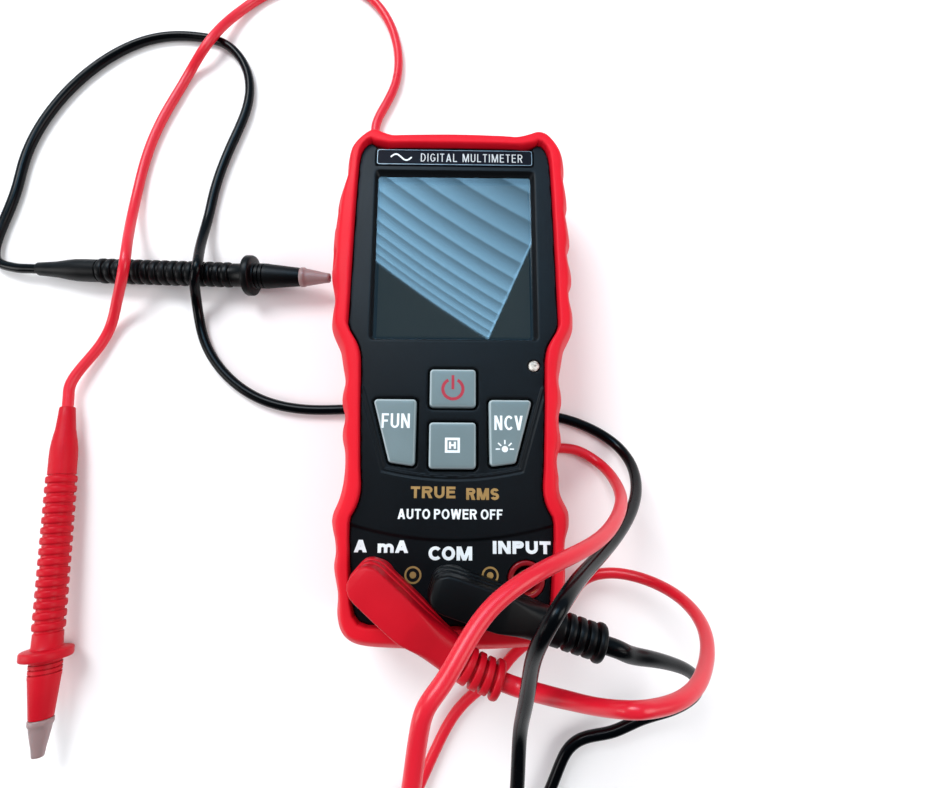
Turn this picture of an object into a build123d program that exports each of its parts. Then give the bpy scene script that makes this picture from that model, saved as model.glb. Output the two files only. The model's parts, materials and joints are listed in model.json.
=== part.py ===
from build123d import *
import math
import os

# Hand-held digital multimeter in a rubber holster, with two test leads plugged in.
# Millimetres. The origin is on the resting plane under the middle of the meter body;
# +X is to the right of the face, +Y toward the display end, +Z out of the face.

# ---------------------------------------------------------------- driving dimensions
Z_FOOT = 4.5            # top of the holster's feet
Z_BACK = 7.45           # outer face of the rear shell
Z_PART = 20.0           # parting plane between the two shells
Z_ROOF = 33.8           # inner face of the front shell
Z_UPPER = 35.4          # display and key area of the front face
Z_FACE = 36.0           # apron of the front face
Z_JACK_FACE = 35.5      # jack area of the front face
Z_RIM = 38.0            # crest of the holster's rim
WALL = 1.6              # rear shell wall
GAP = 0.05              # fitting gap between moulded pieces
LOOSE_GAP = 0.1         # gap round the battery cover and the title strip

WINDOW_X, WINDOW_Y0, WINDOW_Y1 = 25.6, 7.6, 62.6    # clear opening of the display
WINDOW_BEVEL = 1.2
STRIP_X, STRIP_Y0, STRIP_Y1, STRIP_Z = 26.3, 66.2, 72.3, 34.6   # seat of the title strip

BOARD_Z0, BOARD_Z1 = 20.6, 22.2                # main board
KEY_BOARD_Z0, KEY_BOARD_Z1 = 26.6, 27.6

JACKS = {"a": (-21.6, -64.3), "com": (0.0, -66.0), "input": (21.6, -64.3)}
LEG_SIDE = {"a": 1, "com": 1, "input": -1}     # side of the jack, in X, that has the contact leg
JACK_RING_R, JACK_BODY_R, JACK_BORE_R = 5.3, 4.9, 3.8
TUBE_R, TUBE_BORE_R = 2.6, 2.04                # contact tube, for a 4 mm plug
PLUG_PIN_R = 2.0
SHROUD_R, SHROUD_BORE_R = 3.6, 2.8

CELL_R, CELL_LENGTH, CELL_Z = 5.2, 44.5, 14.0
CELLS = [(-22.6, -1), (-33.6, 1)]              # y of the axis, side of the spring in X
BAY_X, BAY_Y0, BAY_Y1 = 24.4, -39.9, -16.7     # battery bay

# battery cover seat in the rear shell, with its screw tab and two tongues
SEAT_X, SEAT_Y0, SEAT_Y1, SEAT_Z = 24.4, -41.6, -15.2, 8.6
TAB_X, TAB_Y0, TAB_Y1 = 5.2, -47.2, -41.0
COVER_SCREW_Y = -43.9
TONGUES_X = (-12, 12)
SLOT_X, SLOT_Y0, SLOT_Y1 = 3.1, -17.6, -13.6

STAND_Y, STAND_Z = 66.0, 9.0                   # stand hinge axis
STAND_BAY_X, STAND_BAY_Y0, STAND_BAY_Y1, STAND_BAY_Z = 22.1, 4.6, 69.9, 10.3
STAND_X = 21.8

SENSOR = (25.2, -1.1)                          # light pipe axis
CASE_SCREWS = [(-27.0, 67.6), (27.0, 67.6), (-11.0, -70.6), (11.0, -70.6)]
BOARD_SCREWS = [(-23.0, 3.2), (23.0, 3.2), (-11.5, -56.6), (11.5, -56.6)]
SPACERS = [(-20.5, -4.5), (20.5, -4.5), (-20.5, -33.2), (20.5, -33.2)]
CABLE_R = 1.8

# name: (clockwise cap outline, flange width round the cap, centre of switch and stem)
KEYS = {
    "power_key": ([(-7.1, -2.6), (7.1, -2.6), (7.1, -14.4), (-7.1, -14.4)], 0.9, (0, -8.5)),
    "hold_key": ([(-7.1, -19.0), (7.1, -19.0), (7.1, -33.0), (-7.1, -33.0)], 0.9, (0, -26.0)),
    "function_key": ([(-24.3, -12.0), (-11.0, -12.0), (-11.2, -32.3), (-19.0, -31.2)], 0.6,
                     (-16.2, -20.6)),
    "ncv_key": ([(11.0, -12.0), (24.3, -12.0), (19.0, -31.2), (11.2, -32.3)], 0.6,
                (16.2, -20.6)),
}

os.makedirs("parts", exist_ok=True)


# ---------------------------------------------------------------- helpers
def prism(outline, z0, z1):
    face = make_face(Polyline(*outline, close=True))
    return extrude(Pos(0, 0, z0) * face, amount=z1 - z0, dir=(0, 0, 1))


def rounded_prism(outline, z0, z1, radius):
    solid = prism(outline, z0, z1)
    return fillet(solid.edges().filter_by(Axis.Z), radius)


def box(x0, x1, y0, y1, z0, z1):
    centre = Pos((x0 + x1) / 2, (y0 + y1) / 2, (z0 + z1) / 2)
    return centre * Box(abs(x1 - x0), abs(y1 - y0), abs(z1 - z0))


def rounded_box(x0, x1, y0, y1, z0, z1, radius):
    """Box with its upright edges rounded."""
    centre = Pos((x0 + x1) / 2, (y0 + y1) / 2, z0)
    section = centre * RectangleRounded(abs(x1 - x0), abs(y1 - y0), radius)
    return extrude(section, amount=z1 - z0, dir=(0, 0, 1))


def rod(x, y, z0, z1, radius):
    """Upright cylinder."""
    return Pos(x, y, (z0 + z1) / 2) * Cylinder(radius, z1 - z0)


def rod_x(x0, x1, y, z, radius):
    """Cylinder lying along X."""
    return Pos((x0 + x1) / 2, y, z) * Rot(0, 90, 0) * Cylinder(radius, abs(x1 - x0))


def turned(profile):
    """Solid of revolution about Z from (radius, height) points."""
    face = make_face(Polyline(*[(r, 0, z) for r, z in profile], close=True))
    return revolve(face, Axis.Z)


def mirrored(right):
    """Closed outline from its right-hand half; points on the centre line aren't repeated."""
    return right + [(-x, y) for x, y in reversed(right) if x > 1e-6]


def grow(outline, distance):
    """Clockwise outline moved outward by a distance (inward when negative)."""
    grown = []
    for i, (bx, by) in enumerate(outline):
        ax, ay = outline[i - 1]
        cx, cy = outline[(i + 1) % len(outline)]
        length_in = math.hypot(bx - ax, by - ay)
        length_out = math.hypot(cx - bx, cy - by)
        normal_in = ((ay - by) / length_in, (bx - ax) / length_in)
        normal_out = ((by - cy) / length_out, (cx - bx) / length_out)
        cosine = normal_in[0] * normal_out[0] + normal_in[1] * normal_out[1]
        k = distance / max(0.35, 1 + cosine)      # limits the reach of sharp corners
        grown.append((bx + (normal_in[0] + normal_out[0]) * k,
                      by + (normal_in[1] + normal_out[1]) * k))
    return grown


def screw(x, y, z_head, head_r, head_h, shank_r, length, slot):
    """Upright screw, head down, with a cross recess."""
    body = rod(x, y, z_head, z_head + head_h, head_r)
    body += rod(x, y, z_head + head_h, z_head + length, shank_r)
    body = chamfer(body.edges().group_by(Axis.Z)[-1], shank_r * 0.5)
    for angle in (0, 90):
        body -= Pos(x, y, z_head) * Rot(0, 0, angle) * Box(head_r * 1.2, 0.5, slot)
    return body


def save(name, *shapes):
    solids = [solid for shape in shapes for solid in shape.solids()]
    piece = solids[0] if len(solids) == 1 else Compound(children=solids)
    piece.label = name
    export_step(piece, "parts/" + name + ".step")


# ---------------------------------------------------------------- outlines, (x, y)
# outer outline of both shells
FACE = mirrored([
    (0, 74.5), (15.2, 74.4), (22.0, 74.2), (24.4, 73.8), (25.8, 74.1), (26.9, 75.2), (28.0, 75.8),
    (29.3, 75.3), (30.6, 73.8), (31.5, 71.6), (32.0, 68.0), (32.3, 60.0), (32.6, 49.0),
    (32.8, 37.0), (33.0, 25.0), (33.2, 12.0), (32.4, 9.8), (30.0, 5.9), (29.2, 3.8), (28.7, 0.7),
    (28.2, -15.0), (27.5, -32.2), (27.0, -38.0), (27.2, -41.6), (28.4, -44.8), (29.6, -46.9),
    (29.95, -49.0), (29.9, -53.4), (29.1, -63.5), (28.5, -70.5), (27.6, -74.0), (26.0, -76.0),
    (23.6, -76.8), (12.0, -77.0), (0, -77.1)])
# inner wall line of the shells
CAVITY = mirrored([
    (0, 72.3), (27.6, 72.3), (29.4, 70.4), (30.1, 60.0), (30.5, 49.0), (30.7, 37.0), (30.9, 25.0),
    (31.0, 12.6), (27.8, 6.4), (27.0, 4.0), (26.6, 0.7), (26.1, -15.0), (25.5, -32.2),
    (25.0, -38.2), (25.3, -42.3), (27.7, -47.4), (27.8, -53.4), (27.0, -63.5), (26.4, -70.0),
    (25.2, -73.6), (23.4, -74.8), (0, -75.0)])
MAIN_BOARD = mirrored([
    (0, 71.6), (21.8, 71.6), (21.8, 63.0), (29.6, 63.0), (30.0, 49.0), (30.3, 25.0), (30.4, 13.0),
    (27.2, 6.6), (26.2, 3.0), (25.6, -15.0), (25.0, -32.2), (24.5, -38.2), (24.8, -42.6),
    (27.1, -47.6), (27.2, -53.4), (26.5, -63.5), (25.8, -70.0), (24.6, -73.2), (22.8, -74.2),
    (0, -74.4)])
# widest outline of the holster, clockwise from top centre; the side waves are finger grips
HOLSTER = [
    (-0.1, 83.2), (15.9, 82.7), (23.3, 81.9), (25.7, 83.1), (28.6, 83.7), (31.4, 83.1),
    (33.8, 81.0), (36.2, 77.5), (37.8, 73.9), (38.2, 69.3), (38.1, 67.0), (37.7, 64.7),
    (38.5, 59.8), (38.8, 54.9), (38.3, 51.2), (38.8, 46.8), (39.3, 42.1), (39.0, 39.4),
    (38.4, 37.4), (38.6, 33.8), (39.4, 31.0), (39.4, 27.1), (39.0, 25.0), (38.4, 24.0),
    (38.5, 20.5), (39.3, 17.4), (39.3, 14.0), (39.0, 11.3), (37.5, 8.0), (35.9, 4.9), (35.3, 1.6),
    (34.7, -1.4), (34.2, -3.4), (34.1, -6.0), (34.8, -9.2), (34.8, -12.5), (34.3, -14.4),
    (33.7, -16.0), (33.8, -19.8), (34.3, -22.9), (34.3, -25.7), (33.3, -27.2), (32.7, -30.4),
    (32.9, -32.8), (33.3, -35.3), (33.2, -38.9), (34.1, -41.9), (35.8, -44.9), (36.0, -47.9),
    (35.6, -50.8), (34.5, -53.2), (34.2, -57.0), (34.3, -63.0), (33.9, -68.0), (33.6, -74.0),
    (33.0, -77.5), (31.2, -80.6), (27.6, -83.0), (21.0, -84.2), (8.9, -84.9), (-3.2, -85.1),
    (-15.3, -84.7), (-24.0, -84.2), (-28.6, -83.2), (-31.7, -81.0), (-33.1, -78.2),
    (-33.8, -74.4), (-33.6, -71.2), (-33.7, -68.8), (-34.7, -65.0), (-35.4, -61.5),
    (-34.9, -57.9), (-35.3, -54.1), (-36.2, -51.2), (-36.7, -48.6), (-36.4, -46.2),
    (-34.8, -42.4), (-33.8, -37.9), (-33.4, -33.6), (-33.4, -30.3), (-33.7, -26.9),
    (-34.4, -25.0), (-34.7, -22.8), (-34.6, -20.3), (-34.0, -18.5), (-34.2, -15.8),
    (-35.0, -14.0), (-35.3, -11.5), (-35.1, -8.9), (-34.5, -7.0), (-34.5, -5.0), (-35.2, -2.1),
    (-35.8, 0.9), (-36.4, 4.2), (-37.9, 7.2), (-39.6, 11.2), (-39.8, 13.9), (-39.5, 17.6),
    (-39.1, 20.2), (-39.3, 22.8), (-39.9, 25.2), (-40.6, 28.7), (-40.8, 32.2), (-40.7, 37.5),
    (-40.6, 44.7), (-40.0, 52.1), (-39.2, 58.4), (-38.1, 64.0), (-38.2, 68.0), (-38.0, 71.5),
    (-37.2, 75.0), (-34.8, 78.6), (-32.1, 81.4), (-29.8, 83.2), (-27.0, 84.1), (-24.9, 83.4),
    (-23.2, 82.3), (-15.7, 82.7)]


def nearest_on(outline, point):
    """Point of a closed outline nearest to a given point."""
    px, py = point
    best, nearest = math.inf, point
    for i, (ax, ay) in enumerate(outline):
        bx, by = outline[(i + 1) % len(outline)]
        dx, dy = bx - ax, by - ay
        t = ((px - ax) * dx + (py - ay) * dy) / (dx * dx + dy * dy)
        t = min(1.0, max(0.0, t))
        x, y = ax + t * dx, ay + t * dy
        distance = math.hypot(px - x, py - y)
        if distance < best:
            best, nearest = distance, (x, y)
    return nearest


HOLSTER_INNER = [nearest_on(FACE, point) for point in HOLSTER]


def holster_at(t):
    """Outline a fraction t of the way from the face outline to the widest outline."""
    return [(ax + t * (bx - ax), ay + t * (by - ay))
            for (ax, ay), (bx, by) in zip(HOLSTER_INNER, HOLSTER)]


# ---------------------------------------------------------------- holster
# (z, fraction of the way to the widest outline)
BOOT_SECTIONS = [
    (Z_FOOT, 0.60), (5.6, 0.74), (7.6, 0.86), (11.0, 0.94), (17.0, 0.985), (26.0, 1.0),
    (31.0, 0.985), (34.2, 0.93), (36.0, 0.83), (37.1, 0.66), (37.6, 0.45), (Z_RIM, 0.16)]
# first and last index in HOLSTER, inner and outer fraction
FEET = [
    (-1, HOLSTER.index((34.1, -6.0)), 0.06, 0.52),                                # top and right
    (HOLSTER.index((-37.9, 7.2)), HOLSTER.index((-38.1, 64.0)), 0.22, 0.56),      # left
    (HOLSTER.index((33.3, -35.3)), HOLSTER.index((-33.8, -37.9)), 0.06, 0.50),    # jack end
]


def boot_section(z, t):
    return make_face(Spline(*[(x, y, z) for x, y in holster_at(t)], periodic=True))


def foot(first, last, t_inner, t_outer):
    """Foot rail under the holster's lip, along a run of outline points."""
    run = [i % len(HOLSTER) for i in range(first, last + 1)]
    inner, outer = holster_at(t_inner), holster_at(t_outer)
    outline = [outer[i] for i in run] + [inner[i] for i in reversed(run)]
    return prism(outline, 0.0, Z_FOOT + 0.3)


def make_boot():
    boot = loft([boot_section(z, t) for z, t in BOOT_SECTIONS], ruled=True)
    boot -= prism(grow(FACE, GAP), Z_BACK - GAP, Z_RIM + 1)
    boot -= rounded_box(-25.4, 25.4, -63.0, 71.5, Z_FOOT - 1, Z_BACK + 1, 3.0)
    # relief under the neck of the plug in jack A
    boot -= box(-16.6, -10.9, -77.7, -76.5, 36.6, Z_RIM + 1)
    for run in FEET:
        boot += foot(*run)
    return boot


save("boot", make_boot())

# ---------------------------------------------------------------- front shell
CUT_X = 45              # reach of the face cuts beyond the shell's sides


def face_cut(curves, z):
    """Block above z, from curves that close an outline."""
    return extrude(Pos(0, 0, z) * make_face(Curve() + curves), amount=5, dir=(0, 0, 1))


def upper_cut():
    """Lowers the display and key area, down to an arc below the keys."""
    arc = ThreePointArc((21.25, -33.75), (0.0, -36.3), (-21.25, -33.75))
    outline = mirrored([(21.25, -33.75), (28.45, -9.0), (CUT_X, -9.0), (CUT_X, 90)])
    return face_cut([Polyline(*outline), arc], Z_UPPER)


def jack_cut():
    """Lowers the jack area, up to an arc above the jacks."""
    x, y = 30.6, -48.6
    arc = ThreePointArc((x, y), (0.0, -53.2), (-x, y))
    line = Polyline((-x, y), (-CUT_X, y), (-CUT_X, -95), (CUT_X, -95), (CUT_X, y), (x, y))
    return face_cut([arc, line], Z_JACK_FACE)


def window_cut():
    """Display opening, flaring outward."""
    width, height = 2 * WINDOW_X, WINDOW_Y1 - WINDOW_Y0
    y = (WINDOW_Y0 + WINDOW_Y1) / 2
    flare, radius = 2 * WINDOW_BEVEL, 1.2
    inner = Pos(0, y, Z_ROOF - 0.1) * RectangleRounded(width, height, radius)
    outer = Pos(0, y, Z_UPPER + 0.05) * RectangleRounded(
        width + flare, height + flare, radius + WINDOW_BEVEL)
    return loft([inner, outer], ruled=True)


def make_front_shell():
    shell = prism(FACE, Z_PART + GAP, Z_FACE) - prism(CAVITY, Z_PART - 1, Z_ROOF)
    shell = shell - upper_cut() - jack_cut()
    # thinner roof round the display
    shell -= prism([(-28.0, 5.9), (28.0, 5.9), (28.0, 64.4), (-28.0, 64.4)], 32.0, Z_ROOF)
    shell -= window_cut()
    shell -= rounded_box(-STRIP_X, STRIP_X, STRIP_Y0, STRIP_Y1, STRIP_Z, 36, 0.8)
    for outline, flange, _ in KEYS.values():
        shell -= rounded_prism(grow(outline, 0.35), 33.0, 37.0, 1.3)
        shell -= prism(grow(outline, flange + 0.6), 31.0, 34.0)
    for x, y in JACKS.values():
        shell -= rod(x, y, 33.0, 37.0, JACK_RING_R + GAP)
    shell -= rod(*SENSOR, 33.0, 37.0, 1.75)
    for x, y in CASE_SCREWS:
        shell += rod(x, y, Z_PART + 0.1, 34.0, 3.0) & prism(grow(FACE, -0.4), Z_PART, 35)
        shell -= rod(x, y, Z_PART - 1, 31.0, 1.52)
    for x, y in BOARD_SCREWS:
        shell += rod(x, y, BOARD_Z1, 34.0, 2.0)
        shell -= rod(x, y, BOARD_Z1 - 1, 29.0, 1.12)
    return shell


save("front_shell", make_front_shell())


# ---------------------------------------------------------------- rear shell
def make_rear_shell():
    below = Z_BACK - 1                  # start of the cuts made from outside
    shell = prism(FACE, Z_BACK, Z_PART) - prism(CAVITY, Z_BACK + WALL, Z_PART + 1)
    # battery bay
    shell += (box(-26.2, 26.2, BAY_Y0 - 1.2, BAY_Y1 + 1.2, Z_BACK, Z_PART)
              & prism(grow(FACE, -1.0), Z_BACK, Z_PART))
    shell -= box(-BAY_X, BAY_X, BAY_Y0, BAY_Y1, below, 19.35)
    # stand recess, deeper round the hinge
    shell += box(-24.0, 24.0, 3.0, 71.2, Z_BACK, 12.6)
    shell -= rounded_box(-STAND_BAY_X, STAND_BAY_X, STAND_BAY_Y0, STAND_BAY_Y1,
                         below, STAND_BAY_Z, 1.0)
    shell -= rod_x(-STAND_BAY_X, STAND_BAY_X, STAND_Y, STAND_Z, 2.2)
    shell -= box(-STAND_BAY_X, STAND_BAY_X, STAND_Y - 0.1, STAND_BAY_Y1, below, STAND_Z + 2.0)
    # finger notch at the free end of the stand
    shell -= box(-7.0, 7.0, 1.2, 5.0, below, STAND_BAY_Z)
    # battery cover seat, screw boss and tongue slots
    shell -= rounded_box(-SEAT_X, SEAT_X, SEAT_Y0, SEAT_Y1, below, SEAT_Z, 1.0)
    shell -= box(-TAB_X, TAB_X, TAB_Y0, TAB_Y1, below, SEAT_Z)
    shell += rod(0, COVER_SCREW_Y, SEAT_Z, 15.0, 3.0)
    shell -= rod(0, COVER_SCREW_Y, 8.0, 14.0, 1.12)
    for x in TONGUES_X:
        shell -= box(x - SLOT_X, x + SLOT_X, SLOT_Y0, SLOT_Y1, 8.5, 9.8)
    for x, y in CASE_SCREWS:
        shell += rod(x, y, Z_BACK + 0.5, Z_PART, 4.0) & prism(grow(FACE, -0.4), Z_BACK, Z_PART)
        shell -= rod(x, y, below, 11.5, 2.9)
        shell -= rod(x, y, 10.0, Z_PART + 1, 1.62)
    # posts that back up the jack contacts
    for x, y in JACKS.values():
        shell += rod(x, y, Z_BACK + 1.5, 13.45, 3.6)
    # hinge pin holes of the stand
    shell -= rod_x(-23.65, 23.65, STAND_Y, STAND_Z, 1.24)
    return shell


save("rear_shell", make_rear_shell())


# ---------------------------------------------------------------- battery cover
def make_battery_cover():
    gap = LOOSE_GAP
    z0, z1 = Z_BACK + GAP, SEAT_Z - GAP
    cover = rounded_box(-SEAT_X + gap, SEAT_X - gap, SEAT_Y0 + gap, SEAT_Y1 - gap, z0, z1, 1.0)
    cover += box(-TAB_X + gap, TAB_X - gap, TAB_Y0 + gap, TAB_Y1, z0, z1)
    for x in TONGUES_X:
        tongue = box(x - SLOT_X + gap, x + SLOT_X - gap, SLOT_Y0 + gap, SLOT_Y1 - gap, 8.4, 9.6)
        cover += tongue - box(x - 3.1, x + 3.1, -15.4, -13.0, 8.0, 8.65)
    for i in range(5):
        y = -19.0 - 1.6 * i             # grooves across the outer face
        cover -= box(-6.0, 6.0, y, y + 0.8, 7.0, 7.75)
    cover -= rod(0, COVER_SCREW_Y, 6.0, 10.0, 1.35)
    cover -= rod(0, COVER_SCREW_Y, 6.0, 8.12, 2.3)
    return cover


save("battery_cover", make_battery_cover())
save("battery_cover_screw", screw(0, COVER_SCREW_Y, z_head=7.6, head_r=2.15, head_h=0.5,
                                  shank_r=1.1, length=5.9, slot=0.5))


# ---------------------------------------------------------------- cells and contacts
def cell(y, spring_side):
    """Cell with its flat end toward its spring."""
    end = CELL_LENGTH / 2
    body = rod_x(-end, 21.35, y, CELL_Z, CELL_R)
    body = fillet(body.edges(), 0.5)
    body += rod_x(21.2, end, y, CELL_Z, 1.9)
    return mirror(body, Plane.YZ) if spring_side > 0 else body


def coil(y, side):
    """Coil spring, from near the contact plate toward the cell."""
    turns, length = 2.5, 23.55 - 22.62
    path = Pos(side * 23.55, y, CELL_Z) * Rot(0, -90 * side, 0) * Helix(
        pitch=length / turns, height=length, radius=3.0)
    section = Plane(origin=path @ 0, z_dir=path % 0) * Circle(0.16)
    return sweep(section, path=path, is_frenet=True)


def contact_plate(y, side):
    half = 4.2
    return box(side * 23.85, side * 24.3, y - half, y + half, CELL_Z - half, CELL_Z + half)


def button_contact(y, side):
    """Contact plate with a stud toward the cell."""
    return contact_plate(y, side) + rod_x(side * 22.35, side * 23.9, y, CELL_Z, 1.6)


save("batteries", *[cell(y, side) for y, side in CELLS])
save("battery_springs", *[coil(y, side) for y, side in CELLS])
save("battery_contacts", *[contact_plate(y, side) for y, side in CELLS],
     *[button_contact(y, -side) for y, side in CELLS])


# ---------------------------------------------------------------- tilt stand
def make_tilt_stand():
    stand = rounded_box(-STAND_X, STAND_X, 6.2, STAND_Y, 7.55, 9.85, 1.0)
    stand -= rounded_box(-13.5, 13.5, 18.0, 56.0, 6.0, 11.0, 2.5)
    stand += rod_x(-STAND_X, STAND_X, STAND_Y, STAND_Z, 1.45)
    for side in (-1, 1):
        stand += rod_x(side * 21.0, side * 23.4, STAND_Y, STAND_Z, 1.2)
    return stand


save("tilt_stand", make_tilt_stand())


# ---------------------------------------------------------------- display stack
def make_lcd_frame():
    frame = rounded_box(-26.9, 26.9, 6.4, 64.4, BOARD_Z1, 32.2, 1.0)
    frame -= box(-25.2, 25.2, 8.2, 63.0, 20, 40)
    for y in (12.2, 57.6):              # cross bars under the backlight
        frame += box(-26.0, 26.0, y, y + 1.8, 24.6, 26.8)
    frame -= box(-24.0, 24.0, 11.5, 60.2, 20, 24.7)
    return frame


save("title_strip", rounded_box(-STRIP_X + LOOSE_GAP, STRIP_X - LOOSE_GAP, STRIP_Y0 + LOOSE_GAP,
                                STRIP_Y1 - LOOSE_GAP, STRIP_Z, STRIP_Z + 1.0, 0.8))
save("lcd_window", rounded_box(-26.6, 26.6, 6.6, 63.6, 32.3, 33.78, 0.8))
save("lcd_panel",
     box(-25.0, 25.0, 9.0, 62.4, 30.6, 32.2) + box(-25.0, 25.0, 11.8, 62.4, 29.5, 30.7))
save("lcd_backlight",
     box(-25.0, 25.0, 12.4, 59.4, 27.4, 29.4) + box(-25.0, -23.0, 30.0, 42.0, 26.9, 27.5))
save("lcd_frame", make_lcd_frame())
save("zebra_strips", box(-22.0, 22.0, 9.3, 11.3, BOARD_Z1, 30.55),
     box(-22.0, 22.0, 60.2, 62.0, BOARD_Z1, 29.45))


# ---------------------------------------------------------------- main board
def make_main_board():
    board = prism(MAIN_BOARD, BOARD_Z0, BOARD_Z1)
    holes = [(*jack, JACK_BODY_R + 0.3) for jack in JACKS.values()]
    holes += [(*place, 3.3) for place in CASE_SCREWS[2:]]
    holes += [(*place, 1.3) for place in BOARD_SCREWS]
    for x, y, radius in holes:
        board -= rod(x, y, 19, 24, radius)
    for name, (x, y) in JACKS.items():  # slots for the contact legs
        side = LEG_SIDE[name]
        board -= box(x + side * 5.3, x + side * 6.7, y - 1.8, y + 1.8, 19, 24)
    return board


def make_main_chip():
    """Flat chip with twelve pins along each of its four sides."""
    pitch, half_pin = 0.9, 0.2
    chip = rounded_box(-6.0, 6.0, 30.0, 42.0, 22.35, 23.9, 0.6)
    for turn in (0, 90):
        for i in range(12):
            x0 = (i - 5.5) * pitch - half_pin
            x1 = x0 + 2 * half_pin
            pins = box(x0, x1, -7.2, 7.2, 22.5, 22.7)
            for side in (-1, 1):
                pins += box(x0, x1, side * 7.1, side * 7.4, BOARD_Z1, 22.7)
            chip += Pos(0, 36, 0) * Rot(0, 0, turn) * pins
    return chip


save("main_board", make_main_board())
save("board_screws", *[screw(x, y, z_head=18.85, head_r=2.2, head_h=1.7, shank_r=1.1,
                             length=8.6, slot=0.9) for x, y in BOARD_SCREWS])
save("case_screws", *[screw(x, y, z_head=8.6, head_r=2.7, head_h=2.8, shank_r=1.5,
                            length=20.0, slot=0.9) for x, y in CASE_SCREWS])
save("main_chip", make_main_chip())
save("ncv_antenna", rounded_box(-16.0, 16.0, 69.3, 69.8, BOARD_Z1, 31.5, 0.2))
save("buzzer", rod(13.0, -4.0, 14.6, 20.55, 6.0) - rod(13.0, -4.0, 14.0, 15.6, 1.0))


# ---------------------------------------------------------------- key board and keys
def key_sheet(z0, z1):
    """Rounded sheet with the outline shared by the key board and the membrane."""
    return rounded_box(-23.0, 23.0, -35.4, -1.4, z0, z1, 1.0)


def make_key_board():
    board = key_sheet(KEY_BOARD_Z0, KEY_BOARD_Z1)
    for x, y in SPACERS:
        board -= rod(x, y, 26, 29, 1.05)
    return board


def spacer(x, y):
    return (rod(x, y, BOARD_Z1, KEY_BOARD_Z0, 1.9)
            + rod(x, y, KEY_BOARD_Z0, KEY_BOARD_Z1 + 0.9, 1.0))


def tact_switch(x, y):
    body = rounded_box(x - 3, x + 3, y - 3, y + 3, KEY_BOARD_Z1, 29.5, 0.4)
    return body + rod(x, y, 29.4, 30.05, 1.7)


def make_membrane():
    mat = key_sheet(30.1, 30.7)
    for _, _, (x, y) in KEYS.values():
        mat += Pos(x, y, 30.7) * Cone(
            4.0, 3.0, 0.6, align=(Align.CENTER, Align.CENTER, Align.MIN))
    return mat


def key(outline, flange, centre):
    cap = rounded_prism(outline, 33.0, 36.9, 1.0)
    cap = fillet(cap.edges().group_by(Axis.Z)[-1], 0.7)
    return cap + prism(grow(outline, flange), 32.25, 33.1) + rod(*centre, 32.2, 33.0, 1.5)


save("key_board", make_key_board())
save("board_spacers", *[spacer(x, y) for x, y in SPACERS])
save("tact_switches", *[tact_switch(*centre) for _, _, centre in KEYS.values()])
save("keypad_membrane", make_membrane())
for name, entry in KEYS.items():
    save(name, key(*entry))


# ---------------------------------------------------------------- indicator
def make_light_pipe():
    """Rod with a collar under the roof, trimmed to the cavity below the roof."""
    pipe = rod(*SENSOR, 24.2, 35.7, 1.7) + rod(*SENSOR, 32.6, 33.7, 2.3)
    return pipe & (prism(grow(CAVITY, -0.1), 20, Z_ROOF) + rod(*SENSOR, 33.7, 35.7, 1.7))


def make_led():
    x, y = SENSOR
    return (box(x - 1.6, x + 0.6, y - 0.8, y + 0.8, BOARD_Z1, 23.0)
            + rod(x - 0.5, y, 22.9, 23.6, 0.7))


save("light_pipe", make_light_pipe())
save("indicator_led", make_led())


# ---------------------------------------------------------------- jacks
def jack_socket(x, y):
    socket = rod(x, y, 14.9, 36.2, JACK_BODY_R) + rod(x, y, 33.2, 36.2, JACK_RING_R)
    socket -= rod(x, y, 16.4, 37, JACK_BORE_R)
    socket -= rod(x, y, 14, 17, TUBE_R + GAP)
    outer_rim = socket.edges().group_by(Axis.Z)[-1].sort_by(SortBy.RADIUS)[-1:]
    return fillet(outer_rim, 0.5)


def jack_contact(x, y, side):
    """Flanged tube with a leg bent up through the board."""
    contact = rod(x, y, 14.0, 34.4, TUBE_R) + rod(x, y, 13.5, 14.8, 4.4)
    contact -= rod(x, y, 16.0, 36, TUBE_BORE_R)
    contact += box(x + side * 3.5, x + side * 6.5, y - 1.5, y + 1.5, 13.5, 14.5)
    contact += box(x + side * 5.5, x + side * 6.5, y - 1.5, y + 1.5, 13.5, 23.2)
    return contact


for name, (x, y) in JACKS.items():
    save("jack_socket_" + name, jack_socket(x, y))
    save("jack_contact_" + name, jack_contact(x, y, LEG_SIDE[name]))

# ---------------------------------------------------------------- fuses and measuring parts
FUSE_Y = -50.6
FUSE_CAP = 4.6          # length of the end caps
# name: (x0, x1, z of the axis, cap radius)
FUSES = {"fuse_10a": (-25.6, -1.4, 16.6, 3.0), "fuse_ma": (2.4, 22.4, 17.0, 2.6)}


def fuse(x0, x1, z, r):
    barrel = rod_x(x0 + 0.5, x1 - 0.5, FUSE_Y, z, r - 0.3)
    caps = rod_x(x0, x0 + FUSE_CAP, FUSE_Y, z, r) + rod_x(x1 - FUSE_CAP, x1, FUSE_Y, z, r)
    return barrel + caps


def fuse_clip(x, z, r):
    """Clip hanging from the board, open above the fuse and at the bottom."""
    reach, seat = r + 0.7, r + 0.02
    clip = box(x - 1.5, x + 1.5, FUSE_Y - reach, FUSE_Y + reach, z - 1.6, BOARD_Z0)
    clip -= rod_x(x - 2, x + 2, FUSE_Y, z, seat)
    clip -= box(x - 2, x + 2, FUSE_Y - seat, FUSE_Y + seat, z - 0.01, z + r + 0.3)
    clip -= box(x - 2, x + 2, FUSE_Y - r * 0.8, FUSE_Y + r * 0.8, z - 3, z - 0.6)
    return clip


def make_shunt():
    """Wire bridge on the board."""
    x0, x1, y, top = -18.0, -6.0, -53.5, 28.0
    section = Plane(origin=(x0, y, BOARD_Z1), z_dir=(0, 0, 1)) * Circle(0.8)
    path = FilletPolyline((x0, y, BOARD_Z1), (x0, y, top), (x1, y, top), (x1, y, BOARD_Z1),
                          radius=2.0)
    return sweep(section, path=path)


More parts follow.
